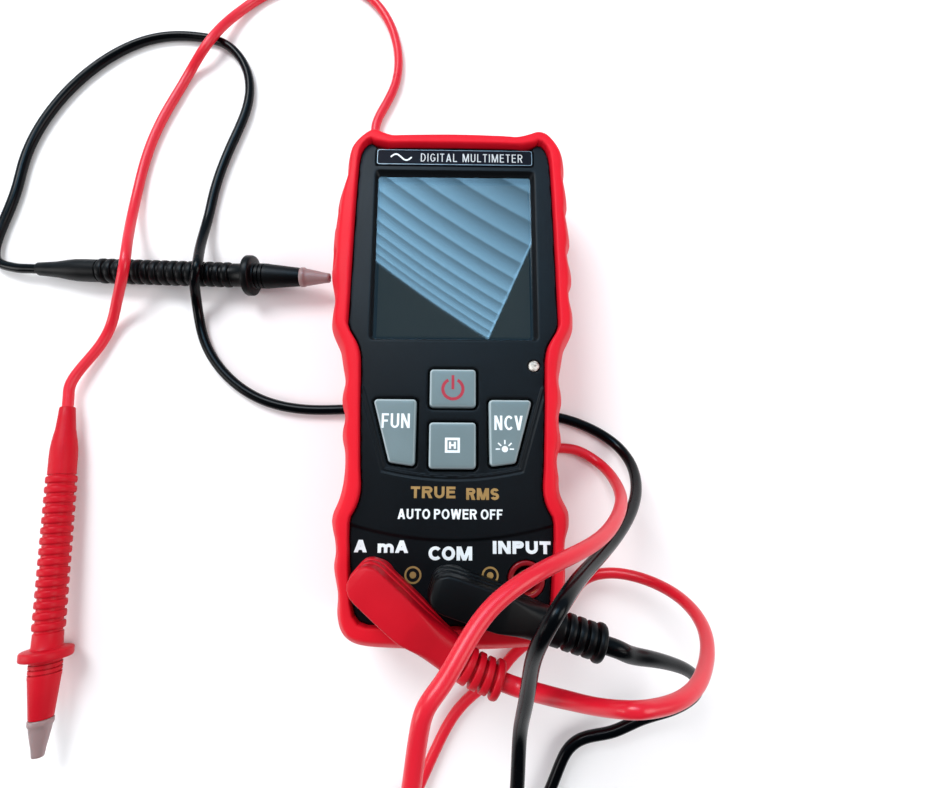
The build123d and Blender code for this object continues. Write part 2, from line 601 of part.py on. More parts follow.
def make_thermistor():
    """Upright disc on two wires."""
    x, y = 7.0, -50.0
    disc = Pos(x, y, 27.6) * Rot(90, 0, 0) * Cylinder(4.2, 3.0)
    disc = fillet(disc.edges(), 0.8)
    return disc + (rod(x - 2, y, BOARD_Z1, 26.0, 0.35) + rod(x + 2, y, BOARD_Z1, 26.0, 0.35))


for name, dimensions in FUSES.items():
    save(name, fuse(*dimensions))
save("fuse_clips", *[fuse_clip(x, z, r) for x0, x1, z, r in FUSES.values()
                     for x in (x0 + FUSE_CAP / 2, x1 - FUSE_CAP / 2)])
save("current_shunt", make_shunt())
save("ptc_thermistor", make_thermistor())

# ---------------------------------------------------------------- cables
# (x, y, z) along each cable's centre line, from plug to probe
RED_PATH = [
    (14.501, -88.701, 44.2), (17.014, -89.541, 44.2), (21.92, -89.749, 47.6),
    (24.793, -89.182, 51.6), (27.667, -88.08, 57), (30.726, -86.434, 64.2),
    (33.615, -84.636, 71), (38.495, -83.067, 76.078), (42.251, -83.26, 74.759),
    (47.466, -83.416, 71.812), (55.598, -83.047, 64.47), (62.151, -81.647, 55.761),
    (67.53, -79.052, 46.539), (70.826, -75.539, 36.685), (70.71, -71.815, 26.401),
    (66.515, -68.631, 16.841), (59.295, -66.666, 11.174), (50.856, -66.771, 8.161),
    (45.037, -69.603, 5.729), (42.112, -73.876, 3.936), (37.086, -81.162, 2.505),
    (28.83, -88.369, 2.13), (20.353, -95.266, 1.964), (15.427, -100.856, 1.93),
    (10.166, -104.673, 1.93), (1.985, -112.005, 1.93), (-3.76, -121.336, 2.028),
    (-8.747, -131.098, 2.878), (-13.803, -140.42, 5.677), (-18.468, -148.098, 11.904),
    (-21.856, -153.326, 20.91), (-23.665, -156.004, 31.379), (-23.925, -155.637, 42.319),
    (-22.868, -152.308, 52.718), (-21.008, -146.938, 62.118), (-18.691, -140.083, 70.387),
    (-16.145, -131.91, 77.271), (-13.588, -122.589, 82.493), (-11.204, -112.453, 86.008),
    (-9.056, -101.899, 88.232), (-7.136, -91.179, 89.782), (-5.664, -80.417, 91.467),
    (-4.528, -76.716, 92.062), (-2.102, -73.658, 91.262), (0.457, -70.133, 90.141),
    (6.807, -61.907, 86.668), (15.389, -56.237, 83.022), (23.448, -53.565, 76.878),
    (31.12, -51.611, 69.253), (37.695, -49.444, 60.714), (43.224, -46.666, 51.624),
    (47.8, -43.645, 42.093), (51.316, -40.837, 32.061), (53.752, -37.962, 21.731),
    (54.985, -34.355, 11.429), (53.036, -29.623, 3.703), (49.859, -26.968, 2.061),
    (45.848, -24.987, 1.93), (40.441, -24.159, 1.93), (32.469, -24.594, 1.93),
    (21.692, -23.622, 2.878), (14.802, -21.136, 4.415), (5.699, -15.113, 5.421),
    (-2.297, -7.569, 5.399), (-11.229, -1.311, 4.072), (-19.36, 5.652, 1.932),
    (-22.616, 10.058, 1.93), (-26.733, 20.182, 1.937), (-27.807, 31.116, 1.93),
    (-28.014, 42.114, 1.93), (-28.034, 53.115, 1.93), (-28.083, 64.116, 1.93),
    (-28.389, 75.112, 1.93), (-29.441, 86.058, 1.93), (-31.527, 96.858, 1.93),
    (-32.266, 107.768, 1.93), (-29.522, 115.264, 1.93), (-25.355, 125.438, 1.93),
    (-23.864, 136.281, 1.93), (-25.092, 147.199, 1.93), (-28.565, 157.61, 1.93),
    (-34.424, 166.889, 1.93), (-42.689, 174.061, 1.93), (-52.999, 177.715, 1.93),
    (-63.953, 177.655, 1.93), (-74.458, 174.484, 1.93), (-83.995, 169.049, 1.93),
    (-91.799, 161.384, 2.606), (-97.589, 152.246, 4.498), (-102.097, 142.381, 6.212),
    (-105.759, 137.199, 5.098), (-109.958, 132.117, 2.774), (-113.151, 126.01, 1.93),
    (-115.846, 119.549, 1.93), (-119.865, 109.311, 1.93), (-122.968, 98.762, 1.93),
    (-124.985, 87.952, 1.93), (-125.853, 77.013, 2.319), (-125.303, 66.252, 4.415),
    (-123.149, 56.277, 8.465), (-120.152, 46.859, 13.283), (-119.239, 40.68, 14.717),
    (-120.056, 36.962, 13.641), (-121.559, 33.869, 11.621), (-124.959, 28.802, 7.27),
    (-129.07, 19.784, 2.88), (-132.711, 11.591, 2.677), (-138.165, 2.092, 3.679),
    (-139.958, -4.049, 4.249), (-139.697, -7.036, 4.358), (-139.479, -9.525, 4.449),
    (-139.261, -12.013, 4.541), (-139.044, -14.502, 4.632), (-138.826, -16.991, 4.723),
    (-138.564, -19.978, 4.832)]
BLACK_PATH = [
    (41.68, -79.462, 44.2), (44.202, -80.277, 44.2), (47.926, -82.19, 41.9),
    (54.171, -84.382, 37.8), (63.57, -87.784, 31.287), (71.541, -91.99, 25.018),
    (76.656, -98.377, 17.82), (76.618, -102.378, 14.133), (74.16, -105.724, 11.431),
    (70.311, -108.283, 9.561), (62.152, -111.515, 7.595), (52.428, -116.242, 5.562),
    (42.102, -119.517, 3.772), (38.721, -122.389, 3.331), (36.383, -126.224, 3.128),
    (31.719, -135.625, 3.365), (25.053, -144.119, 5.146), (17.63, -150.028, 10.489),
    (12.29, -152.507, 19.629), (10.588, -150.927, 26.661), (10.671, -146.904, 32.346),
    (12.372, -138.392, 39.048), (14.547, -128.622, 43.577), (16.21, -118.119, 46.357),
    (16.928, -107.313, 48.294), (17.126, -97.115, 52.163), (17.412, -89.865, 58.286),
    (17.569, -81.808, 65.772), (17.514, -74.289, 73.8), (19.377, -66.285, 80.977),
    (21.372, -63.021, 81.354), (23.614, -60.991, 78.856), (25.593, -59.84, 75.586),
    (30.399, -57.918, 67.031), (36.092, -55.858, 57.844), (42.097, -53.244, 49.006),
    (48.162, -49.831, 40.485), (53.861, -45.648, 32.057), (58.694, -40.649, 23.539),
    (61.919, -34.706, 14.885), (62.225, -27.571, 6.624), (59.612, -22.896, 3.092),
    (55.1, -19.196, 1.935), (49.339, -16.205, 1.93), (38.89, -12.878, 1.93),
    (27.918, -12.129, 1.93), (16.915, -12.04, 1.93), (5.915, -11.809, 1.93),
    (-5.07, -11.173, 1.93), (-16.063, -10.699, 1.93), (-27.064, -10.464, 1.93),
    (-38.067, -10.476, 1.93), (-49.065, -10.809, 1.93), (-60.026, -9.971, 1.93),
    (-70.611, -7.065, 1.93), (-80.119, -1.584, 1.93), (-88.021, 6.035, 1.93),
    (-93.748, 15.39, 1.93), (-96.457, 25.843, 3.368), (-96.095, 31.632, 7.447),
    (-94.229, 36.16, 12.816), (-93.34, 39.539, 14.047), (-93.949, 43.226, 12.518),
    (-94.917, 46.498, 10.44), (-96.73, 55.959, 5.182), (-96.804, 66.495, 2.153),
    (-95.968, 74.924, 1.93), (-93.993, 85.742, 1.93), (-91.084, 96.347, 1.963),
    (-87.797, 106.847, 1.937), (-85.528, 117.599, 1.93), (-86.162, 128.527, 1.93),
    (-90.59, 138.535, 1.93), (-98.642, 145.86, 1.93), (-107.767, 148.366, 1.93),
    (-118.737, 148.926, 1.93), (-129.516, 146.882, 1.93), (-139.4, 142.104, 1.93),
    (-148.141, 135.443, 1.93), (-155.739, 127.497, 1.93), (-162.164, 118.574, 1.93),
    (-167.354, 108.88, 1.93), (-171.158, 98.566, 1.93), (-173.22, 87.773, 1.93),
    (-174.08, 76.804, 1.93), (-176.009, 65.978, 1.93), (-177.993, 55.164, 2.1),
    (-176.403, 46.574, 2.784), (-173.187, 44.315, 3.32), (-169.4, 43.147, 3.824),
    (-164.985, 42.363, 4.249), (-161.989, 42.253, 4.358), (-159.493, 42.161, 4.449),
    (-156.996, 42.07, 4.541), (-154.499, 41.978, 4.632), (-152.003, 41.887, 4.723),
    (-149.007, 41.777, 4.832)]


def split_runs(line, points, step):
    """Spline cut at every step-th point; a short remainder joins the last run."""
    last = len(points) - 1
    runs, i = [], 0
    while i < last:
        j = min(i + step, last)
        if last - j < 3:
            j = last
        start = line.param_at_point(Vector(*points[i])) if i else 0.0
        end = line.param_at_point(Vector(*points[j])) if j < last else 1.0
        runs.append(line.trim(start, end) if (i or j < last) else line)
        i = j
    return runs


def cable(points):
    """Round cable along a smooth line through the points, swept in short runs.

    The run length is the one whose volume comes closest to section area times length."""
    line = Spline(*points)
    best_error, best_tube = math.inf, None
    for step in (8, 6, 5, 7, 10, 4, 9, 12):
        path = Wire(split_runs(line, points, step))
        section = Plane(origin=path @ 0, z_dir=path % 0) * Circle(CABLE_R)
        try:
            tube = sweep(section, path=path)
        except Exception:               # the sweep can fail for some run lengths
            continue
        error = abs(tube.volume / (math.pi * CABLE_R ** 2 * path.length) - 1)
        if error < best_error:
            best_error, best_tube = error, tube
        if error < 0.002:
            break
    return best_tube


save("red_cable", cable(RED_PATH))
save("black_cable", cable(BLACK_PATH))

# ---------------------------------------------------------------- plugs
# stations of each plug in plan: distance from the jack axis, x, y
RED_LINE = [
    (-6.2, -26.28, -60.23), (0.0, -21.6, -64.3), (8.0, -15.56, -69.55), (15.5, -9.81, -74.37),
    (27.4, -0.2, -81.4), (33.2, 4.6, -84.6), (38.1, 9.0, -86.7), (43.0, 13.6, -88.4),
    (48.0, 18.34, -89.99)]
BLACK_ANGLE = math.radians(-17.9)
BLACK_LINE = [(s, s * math.cos(BLACK_ANGLE), JACKS["com"][1] + s * math.sin(BLACK_ANGLE))
              for s in (-6.2, 0.0, 15.5, 30.0, 48.0)]
# plan of the head: distance from the jack axis, half width
HEAD = [(-6.2, 1.9), (-6.05, 2.9), (-5.55, 3.8), (-4.6, 4.7), (-3.0, 5.5), (-1.7, 5.8),
        (0.0, 5.9), (8.0, 5.9), (13.0, 5.8)]
# steps of the head: inset, z0, z1
HEAD_STEPS = [(0.0, 37.0, 42.3), (0.42, 42.3, 46.2), (0.84, 46.2, 51.9)]
# sections of the neck: distance, half width, z0, z1, corner radius
NECK = [(11.0, 5.2, 37.3, 51.8, 0.6), (15.0, 5.2, 37.9, 51.5, 1.6), (18.0, 5.1, 38.3, 51.0, 2.6),
        (22.0, 5.0, 38.8, 50.0, 3.4), (26.0, 4.8, 39.3, 49.2, 4.0), (31.2, 4.6, 39.6, 48.8, 4.4)]
# ringed strain relief: radius, distance along its axis
RELIEF = [
    (0, 0), (4.5, 0), (4.5, 0.7), (3.5, 0.75), (3.5, 1.6), (4.85, 1.65), (4.85, 3.5), (3.5, 3.55),
    (3.5, 4.4), (4.8, 4.45), (4.8, 6.3), (3.5, 6.35), (3.5, 7.2), (4.75, 7.25), (4.75, 9.1),
    (3.5, 9.15), (3.5, 9.9), (5.0, 9.95), (5.2, 10.6), (5.2, 11.4), (4.6, 12.1), (2.45, 12.2),
    (2.45, 12.7), (0, 12.7)]


def on_line(line, s):
    """Plan position and unit direction at distance s."""
    for (s0, x0, y0), end in zip(line, line[1:]):
        s1, x1, y1 = end
        if s <= s1 or end is line[-1]:
            t = (s - s0) / (s1 - s0)
            dx, dy = x1 - x0, y1 - y0
            length = math.hypot(dx, dy)
            return x0 + dx * t, y0 + dy * t, dx / length, dy / length


def head_outline(line, inset):
    left, right = [], []
    for s, half_width in HEAD:
        x, y, dx, dy = on_line(line, s + (inset if s < -1 else 0))
        width = half_width - inset
        left.append((x - dy * width, y + dx * width))
        right.append((x + dy * width, y - dx * width))
    return left + right[::-1]


def neck_section(line, s, half_width, z0, z1, radius):
    x, y, dx, dy = on_line(line, s)
    plane = Plane(origin=(x, y, (z0 + z1) / 2), x_dir=(-dy, dx, 0), z_dir=(dx, dy, 0))
    return plane * RectangleRounded(2 * half_width, z1 - z0, radius)


def plug(x, y, line):
    """Right-angle plug: stepped head, neck, strain relief, shroud into the jack."""
    steps = [prism(head_outline(line, inset), z0, z1) for inset, z0, z1 in HEAD_STEPS]
    body = steps[0] + steps[1] + steps[2]
    body += loft([neck_section(line, *row) for row in NECK], ruled=True)
    x0, y0, _, _ = on_line(line, 30.6)
    x1, y1, _, _ = on_line(line, 43.4)
    body += Plane(origin=(x0, y0, 44.2), z_dir=(x1 - x0, y1 - y0, 0)) * turned(RELIEF)
    body += rod(x, y, 36.6, 39.0, 5.9)
    body += rod(x, y, 23.6, 38.0, SHROUD_R)
    body -= rod(x, y, 22.0, 37.4, SHROUD_BORE_R)
    body -= rod(x, y, 37.0, 41.0, PLUG_PIN_R)
    return body


def plug_pin(x, y):
    pin = rod(x, y, 19.5, 41.0, PLUG_PIN_R)
    return chamfer(pin.edges().group_by(Axis.Z)[0], 0.7)


for colour, jack, line in (("red", "a", RED_LINE), ("black", "com", BLACK_LINE)):
    save(colour + "_plug", plug(*JACKS[jack], line))
    save(colour + "_plug_pin", plug_pin(*JACKS[jack]))

# ---------------------------------------------------------------- probes, (radius, height)
NEEDLE = [(0, 60.1), (1.0, 60.1), (1.0, 104.4), (0.25, 107.3), (0, 107.3)]
TIP_GUARD = [(1.08, 97.1), (3.65, 97.1), (3.6, 99.0), (2.6, 103.0), (1.9, 107.0), (1.7, 108.0),
             (1.08, 108.0)]


def handle_profile():
    profile = [(2.0, -4.0), (2.5, -4.0), (2.7, 0.0), (3.1, 4.0), (3.9, 8.0), (4.2, 12.0),
               (4.2, 20.0)]
    z = 20.0
    while z < 71.0:                     # grip ridges
        profile += [(4.0, z), (4.65, z + 0.7), (4.65, z + 2.3), (4.0, z + 3.0)]
        z += 3.4
    # finger guard
    profile += [(4.2, z), (4.2, 76.4), (7.3, 76.6), (7.5, 77.0), (7.5, 79.0), (7.3, 79.4),
                (4.6, 79.6)]
    for i in range(3):                  # grooves in front of the guard
        z = 80.4 + 1.5 * i
        profile += [(4.6, z), (4.1, z + 0.1), (4.1, z + 0.5), (4.6, z + 0.6)]
    # nose, needle hole and cable hole
    return profile + [(4.5, 85.0), (3.4, 97.0), (1.04, 97.0), (1.04, 60.0), (0, 60.0), (0, 8.0),
                      (2.0, 8.0)]


# colour, rear end of the handle, direction of the needle
PROBES = [("black", (-154.0, 41.96, 4.65), (0.99867, -0.03662, 0.03648)),
          ("red", (-139.0, -15.0, 4.65), (0.0871, -0.99553, 0.03648))]
for colour, rear_end, direction in PROBES:
    plane = Plane(origin=rear_end, z_dir=direction)
    save(colour + "_probe_handle", plane * turned(handle_profile()))
    save(colour + "_probe_needle", plane * turned(NEEDLE))
    save(colour + "_tip_guard", plane * turned(TIP_GUARD))
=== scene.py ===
"""A digital multimeter in a red rubber holster, lying face up with two test leads.

Lengths are in mm unless a comment says metres; meshes are scaled by MM as they are made.
X runs to the meter's right, Y to its top end and Z up out of its face. The holster's feet
stand on z = 0, and the leads leave at the low end and run round to probes on the left.
"""
import bpy
import bmesh
import json
import math
import numpy as np
from mathutils import Matrix, Vector
from mathutils.geometry import delaunay_2d_cdt

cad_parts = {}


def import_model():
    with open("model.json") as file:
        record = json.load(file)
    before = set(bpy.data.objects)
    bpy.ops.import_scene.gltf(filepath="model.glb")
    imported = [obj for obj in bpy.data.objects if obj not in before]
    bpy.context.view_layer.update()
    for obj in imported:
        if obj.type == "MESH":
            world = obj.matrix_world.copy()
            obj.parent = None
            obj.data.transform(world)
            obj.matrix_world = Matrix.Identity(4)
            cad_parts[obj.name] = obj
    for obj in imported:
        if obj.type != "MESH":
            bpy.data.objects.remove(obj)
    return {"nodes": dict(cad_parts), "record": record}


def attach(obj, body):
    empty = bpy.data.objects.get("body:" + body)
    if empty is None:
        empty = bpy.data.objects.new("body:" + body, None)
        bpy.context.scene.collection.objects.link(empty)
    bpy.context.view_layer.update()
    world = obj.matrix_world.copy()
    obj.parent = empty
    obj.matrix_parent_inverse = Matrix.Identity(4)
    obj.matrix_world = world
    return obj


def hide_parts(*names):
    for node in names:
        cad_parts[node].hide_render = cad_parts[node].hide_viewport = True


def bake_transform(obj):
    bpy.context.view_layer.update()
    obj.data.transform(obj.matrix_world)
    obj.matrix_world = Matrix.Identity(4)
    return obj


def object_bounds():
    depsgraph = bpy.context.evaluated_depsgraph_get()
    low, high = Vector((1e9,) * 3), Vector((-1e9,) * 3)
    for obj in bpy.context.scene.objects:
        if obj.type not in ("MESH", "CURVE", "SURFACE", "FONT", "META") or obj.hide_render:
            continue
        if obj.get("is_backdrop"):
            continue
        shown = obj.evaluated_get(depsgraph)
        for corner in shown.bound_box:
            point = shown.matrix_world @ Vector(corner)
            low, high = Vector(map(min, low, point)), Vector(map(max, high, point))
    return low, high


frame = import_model()
CAD_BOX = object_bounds()
MM = 0.001

# ---------------------------------------------------------------- main dimensions
# x, y of the right half of the face outline, from the top round to the bottom
FACE_RIGHT = [
    (0, 74.5), (15.2, 74.4), (22.0, 74.2), (24.4, 73.8), (25.8, 74.1), (26.9, 75.2), (28.0, 75.8),
    (29.3, 75.3), (30.6, 73.8), (31.5, 71.6), (32.0, 68.0), (32.3, 60.0), (32.6, 49.0),
    (32.8, 37.0), (33.0, 25.0), (33.2, 12.0), (32.4, 9.8), (30.0, 5.9), (29.2, 3.8), (28.7, 0.7),
    (28.2, -15.0), (27.5, -32.2), (27.0, -38.0), (27.2, -41.6), (28.4, -44.8), (29.6, -46.9),
    (29.95, -49.0), (29.9, -53.4), (29.1, -63.5), (28.5, -70.5), (27.6, -74.0), (26.0, -76.0),
    (23.6, -76.8), (12.0, -77.0), (0, -77.1)]
FACE = np.array(FACE_RIGHT + [(-x, y) for x, y in reversed(FACE_RIGHT) if x > 0], float)
# x, y of the holster outline, clockwise from the middle of the top
HOLSTER = [
    (-0.1, 83.2), (15.9, 82.7), (23.3, 81.9), (25.7, 83.1), (28.6, 83.7), (31.4, 83.1),
    (33.8, 81.0), (36.2, 77.5), (37.8, 73.9), (38.2, 69.3), (38.1, 67.0), (37.7, 64.7),
    (38.5, 59.8), (38.8, 54.9), (38.3, 51.2), (38.8, 46.8), (39.3, 42.1), (39.0, 39.4),
    (38.4, 37.4), (38.6, 33.8), (39.4, 31.0), (39.4, 27.1), (39.0, 25.0), (38.4, 24.0),
    (38.5, 20.5), (39.3, 17.4), (39.3, 14.0), (39.0, 11.3), (37.5, 8.0), (35.9, 4.9),
    (35.3, 1.6), (34.7, -1.4), (34.2, -3.4), (34.1, -6.0), (34.8, -9.2), (34.8, -12.5),
    (34.3, -14.4), (33.7, -16.0), (33.8, -19.8), (34.3, -22.9), (34.3, -25.7), (33.3, -27.2),
    (32.7, -30.4), (32.9, -32.8), (33.3, -35.3), (33.2, -38.9), (34.1, -41.9), (35.8, -44.9),
    (36.0, -47.9), (35.6, -50.8), (34.5, -53.2), (34.2, -57.0), (34.3, -63.0), (33.9, -68.0),
    (33.6, -74.0), (33.0, -77.5), (31.2, -80.6), (27.6, -83.0), (21.0, -84.2), (8.9, -84.9),
    (-3.2, -85.1), (-15.3, -84.7), (-24.0, -84.2), (-28.6, -83.2), (-31.7, -81.0), (-33.1, -78.2),
    (-33.8, -74.4), (-33.6, -71.2), (-33.7, -68.8), (-34.7, -65.0), (-35.4, -61.5),
    (-34.9, -57.9), (-35.3, -54.1), (-36.2, -51.2), (-36.7, -48.6), (-36.4, -46.2),
    (-34.8, -42.4), (-33.8, -37.9), (-33.4, -33.6), (-33.4, -30.3), (-33.7, -26.9),
    (-34.4, -25.0), (-34.7, -22.8), (-34.6, -20.3), (-34.0, -18.5), (-34.2, -15.8),
    (-35.0, -14.0), (-35.3, -11.5), (-35.1, -8.9), (-34.5, -7.0), (-34.5, -5.0), (-35.2, -2.1),
    (-35.8, 0.9), (-36.4, 4.2), (-37.9, 7.2), (-39.6, 11.2), (-39.8, 13.9), (-39.5, 17.6),
    (-39.1, 20.2), (-39.3, 22.8), (-39.9, 25.2), (-40.6, 28.7), (-40.8, 32.2), (-40.7, 37.5),
    (-40.6, 44.7), (-40.0, 52.1), (-39.2, 58.4), (-38.1, 64.0), (-38.2, 68.0), (-38.0, 71.5),
    (-37.2, 75.0), (-34.8, 78.6), (-32.1, 81.4), (-29.8, 83.2), (-27.0, 84.1), (-24.9, 83.4),
    (-23.2, 82.3), (-15.7, 82.7)]
# key corners, clockwise
KEYS = {
    "power_key": [(-7.1, -2.6), (7.1, -2.6), (7.1, -14.4), (-7.1, -14.4)],
    "hold_key": [(-7.1, -19.0), (7.1, -19.0), (7.1, -33.0), (-7.1, -33.0)],
    "function_key": [(-24.3, -12.0), (-11.0, -12.0), (-11.2, -32.3), (-19.0, -31.2)],
    "ncv_key": [(11.0, -12.0), (24.3, -12.0), (19.0, -31.2), (11.2, -32.3)],
}
JACKS = {"a": (-21.6, -64.3), "com": (0.0, -66.0), "input": (21.6, -64.3)}
SENSOR = (25.2, -1.1)
# boxes are left, right, low, high
VIEW_BOX = (-25.6, 25.6, 7.6, 64.2)      # display opening
TITLE_BOX = (-26.2, 26.2, 67.6, 73.4)
# heights of the face's levels, the title plate, the key tops and the window glass
Z_UPPER, Z_FACE, Z_JACK = 35.4, 36.0, 35.5
Z_TITLE = 35.5
KEY_TOP = 36.945
GLASS_TOP = 33.8
INK_THICK = 0.03
PLUG_AXIS_Z = 44.2                       # height at which the leads leave the plugs


# ---------------------------------------------------------------- shader helpers
def setup(made, **settings):
    """Set a node up. in_X is input X, as a value or a socket to link; others are attributes."""
    for key, value in settings.items():
        if not key.startswith("in_"):
            setattr(made, key, value)
            continue
        key = key[3:]
        socket = made.inputs[int(key) if key.isdigit() else key.replace("_", " ")]
        if isinstance(value, bpy.types.NodeSocket):
            made.id_data.links.new(value, socket)
        else:
            socket.default_value = value
    return made


def node(tree, kind, **settings):
    return setup(tree.nodes.new(kind), **settings)


def calc(tree, operation, *values):
    inputs = {f"in_{i}": value for i, value in enumerate(values)}
    return node(tree, "ShaderNodeMath", operation=operation, **inputs).outputs[0]


def map_range(tree, value, source=(0.0, 1.0), target=(0.0, 1.0), smooth=False):
    return node(tree, "ShaderNodeMapRange",
                interpolation_type="SMOOTHSTEP" if smooth else "LINEAR", in_Value=value,
                in_From_Min=source[0], in_From_Max=source[1],
                in_To_Min=target[0], in_To_Max=target[1]).outputs["Result"]


def mix_color(tree, factor, first, second):
    return node(tree, "ShaderNodeMix", data_type="RGBA", in_Factor=factor,
                in_A=first, in_B=second).outputs["Result"]


def mix_shader(tree, factor, first, second):
    return node(tree, "ShaderNodeMixShader", in_0=factor, in_1=first, in_2=second).outputs[0]


def separate(tree, vector):
    return node(tree, "ShaderNodeSeparateXYZ", in_Vector=vector).outputs


def object_coords(tree):
    return node(tree, "ShaderNodeTexCoord").outputs["Object"]


def new_material(name):
    material = bpy.data.materials.new(name)
    material.use_nodes = True
    tree = material.node_tree
    return material, tree, tree.nodes["Principled BSDF"]


# ---------------------------------------------------------------- materials
def plastic(name, color, rough=0.45, rough_var=0.08, spec=0.5, metallic=0.0, mottle=0.06,
            tint=None, large=60.0, grain=6000.0, bump=0.05, bump_mm=0.02, coat=0.0,
            coat_rough=0.1, sss=0.0, trans=0.0):
    """Moulded surface: broad mottling at scale large, fine relief at scale grain."""
    material, tree, principled = new_material(name)
    coords = object_coords(tree)
    broad = node(tree, "ShaderNodeTexNoise", in_Scale=large, in_Detail=4.0, in_Vector=coords)
    fine = node(tree, "ShaderNodeTexNoise", in_Scale=grain, in_Detail=2.0, in_Vector=coords)
    base = Vector(color)
    dark = Vector(tint) if tint else base * (1 - 2.2 * mottle)
    patch = map_range(tree, broad.outputs["Fac"], (0.3, 0.7))
    relief = node(tree, "ShaderNodeBump", in_Strength=bump, in_Distance=bump_mm * MM,
                  in_Height=fine.outputs["Fac"])
    setup(principled,
          in_Base_Color=mix_color(tree, patch, (*dark, 1), (*(base * (1 + mottle)), 1)),
          in_Roughness=map_range(tree, broad.outputs["Fac"], (0.25, 0.75),
                                 (max(0.02, rough - rough_var), min(1.0, rough + rough_var))),
          in_Normal=relief.outputs["Normal"],
          in_Specular_IOR_Level=spec, in_Metallic=metallic,
          in_Coat_Weight=coat, in_Coat_Roughness=coat_rough, in_Transmission_Weight=trans)
    if sss:
        setup(principled, in_Subsurface_Weight=sss, in_Subsurface_Scale=1.0,
              in_Subsurface_Radius=(0.9 * MM, 0.25 * MM, 0.2 * MM))
    return material


def paint_edge_highlight(material, color):
    """Painted highlight on the rounded edges: a pale tint where the surface turns away from +Z,
    stronger on the sides facing the upper left, where the light comes from.
    """
    tree = material.node_tree
    socket = tree.nodes["Principled BSDF"].inputs["Base Color"]
    plain = socket.links[0].from_socket
    normal = node(tree, "ShaderNodeNewGeometry").outputs["Normal"]
    tilt = map_range(tree, separate(tree, normal)["Z"], (0.985, 0.80), smooth=True)
    toward_light = node(tree, "ShaderNodeVectorMath", operation="DOT_PRODUCT", in_0=normal,
                  in_1=(-0.55, 0.75, 0.0)).outputs["Value"]
    side = map_range(tree, toward_light, (-0.5, 0.5), (0.25, 1.0))
    highlight_share = calc(tree, "MULTIPLY", tilt, side)
    tree.links.new(mix_color(tree, highlight_share, plain, (*color, 1)), socket)


def board_material():
    """Green solder mask with a fine grid of brighter lines."""
    material, tree, principled = new_material("board_soldermask")
    coords = object_coords(tree)
    grid = node(tree, "ShaderNodeTexBrick", in_Scale=260.0, in_Mortar_Size=0.03,
                in_Color1=(0.010, 0.13, 0.045, 1), in_Color2=(0.012, 0.15, 0.05, 1),
                in_Mortar=(0.02, 0.24, 0.08, 1), in_Vector=coords)
    noise = node(tree, "ShaderNodeTexNoise", in_Scale=400.0, in_Vector=coords)
    setup(principled, in_Roughness=0.3,
          in_Base_Color=mix_color(tree, noise.outputs["Fac"], grid.outputs["Color"],
                                  (0.008, 0.11, 0.04, 1)))
    return material


def cell_material():
    """Dark foil, copper-coloured beyond 13 mm either side of the middle."""
    material, tree, principled = new_material("cell_foil")
    across = calc(tree, "ABSOLUTE", separate(tree, object_coords(tree))["X"])
    end = calc(tree, "GREATER_THAN", across, 13.0 * MM)
    setup(principled, in_Metallic=0.7, in_Roughness=0.28,
          in_Base_Color=mix_color(tree, end, (0.02, 0.02, 0.025, 1), (0.55, 0.36, 0.14, 1)))
    return material


def window_material(color=(0.93, 0.96, 0.96), rough=0.015, gloss_share=0.6, gloss_gain=1.67):
    """Clear cover: mostly see-through, with a Fresnel-weighted reflection."""
    material, tree, principled = new_material("window_clear")
    tree.nodes.remove(principled)
    clear = node(tree, "ShaderNodeBsdfTransparent", in_Color=(*color, 1))
    gloss = node(tree, "ShaderNodeBsdfGlossy", in_Roughness=rough)
    noise = node(tree, "ShaderNodeTexNoise", in_Scale=90.0, in_Detail=3.0,
                 in_Vector=object_coords(tree))
    fresnel = node(tree, "ShaderNodeFresnel", in_IOR=1.5)
    strength = node(tree, "ShaderNodeVectorMath", operation="SCALE", in_0=(gloss_gain,) * 3,
                    in_Scale=fresnel.outputs[0])
    setup(gloss, in_Color=strength.outputs["Vector"],
          in_Roughness=map_range(tree, noise.outputs["Fac"], target=(rough * 0.6, rough * 1.8)))
    setup(tree.nodes["Material Output"],
          in_Surface=mix_shader(tree, gloss_share, clear.outputs[0], gloss.outputs[0]))
    return material


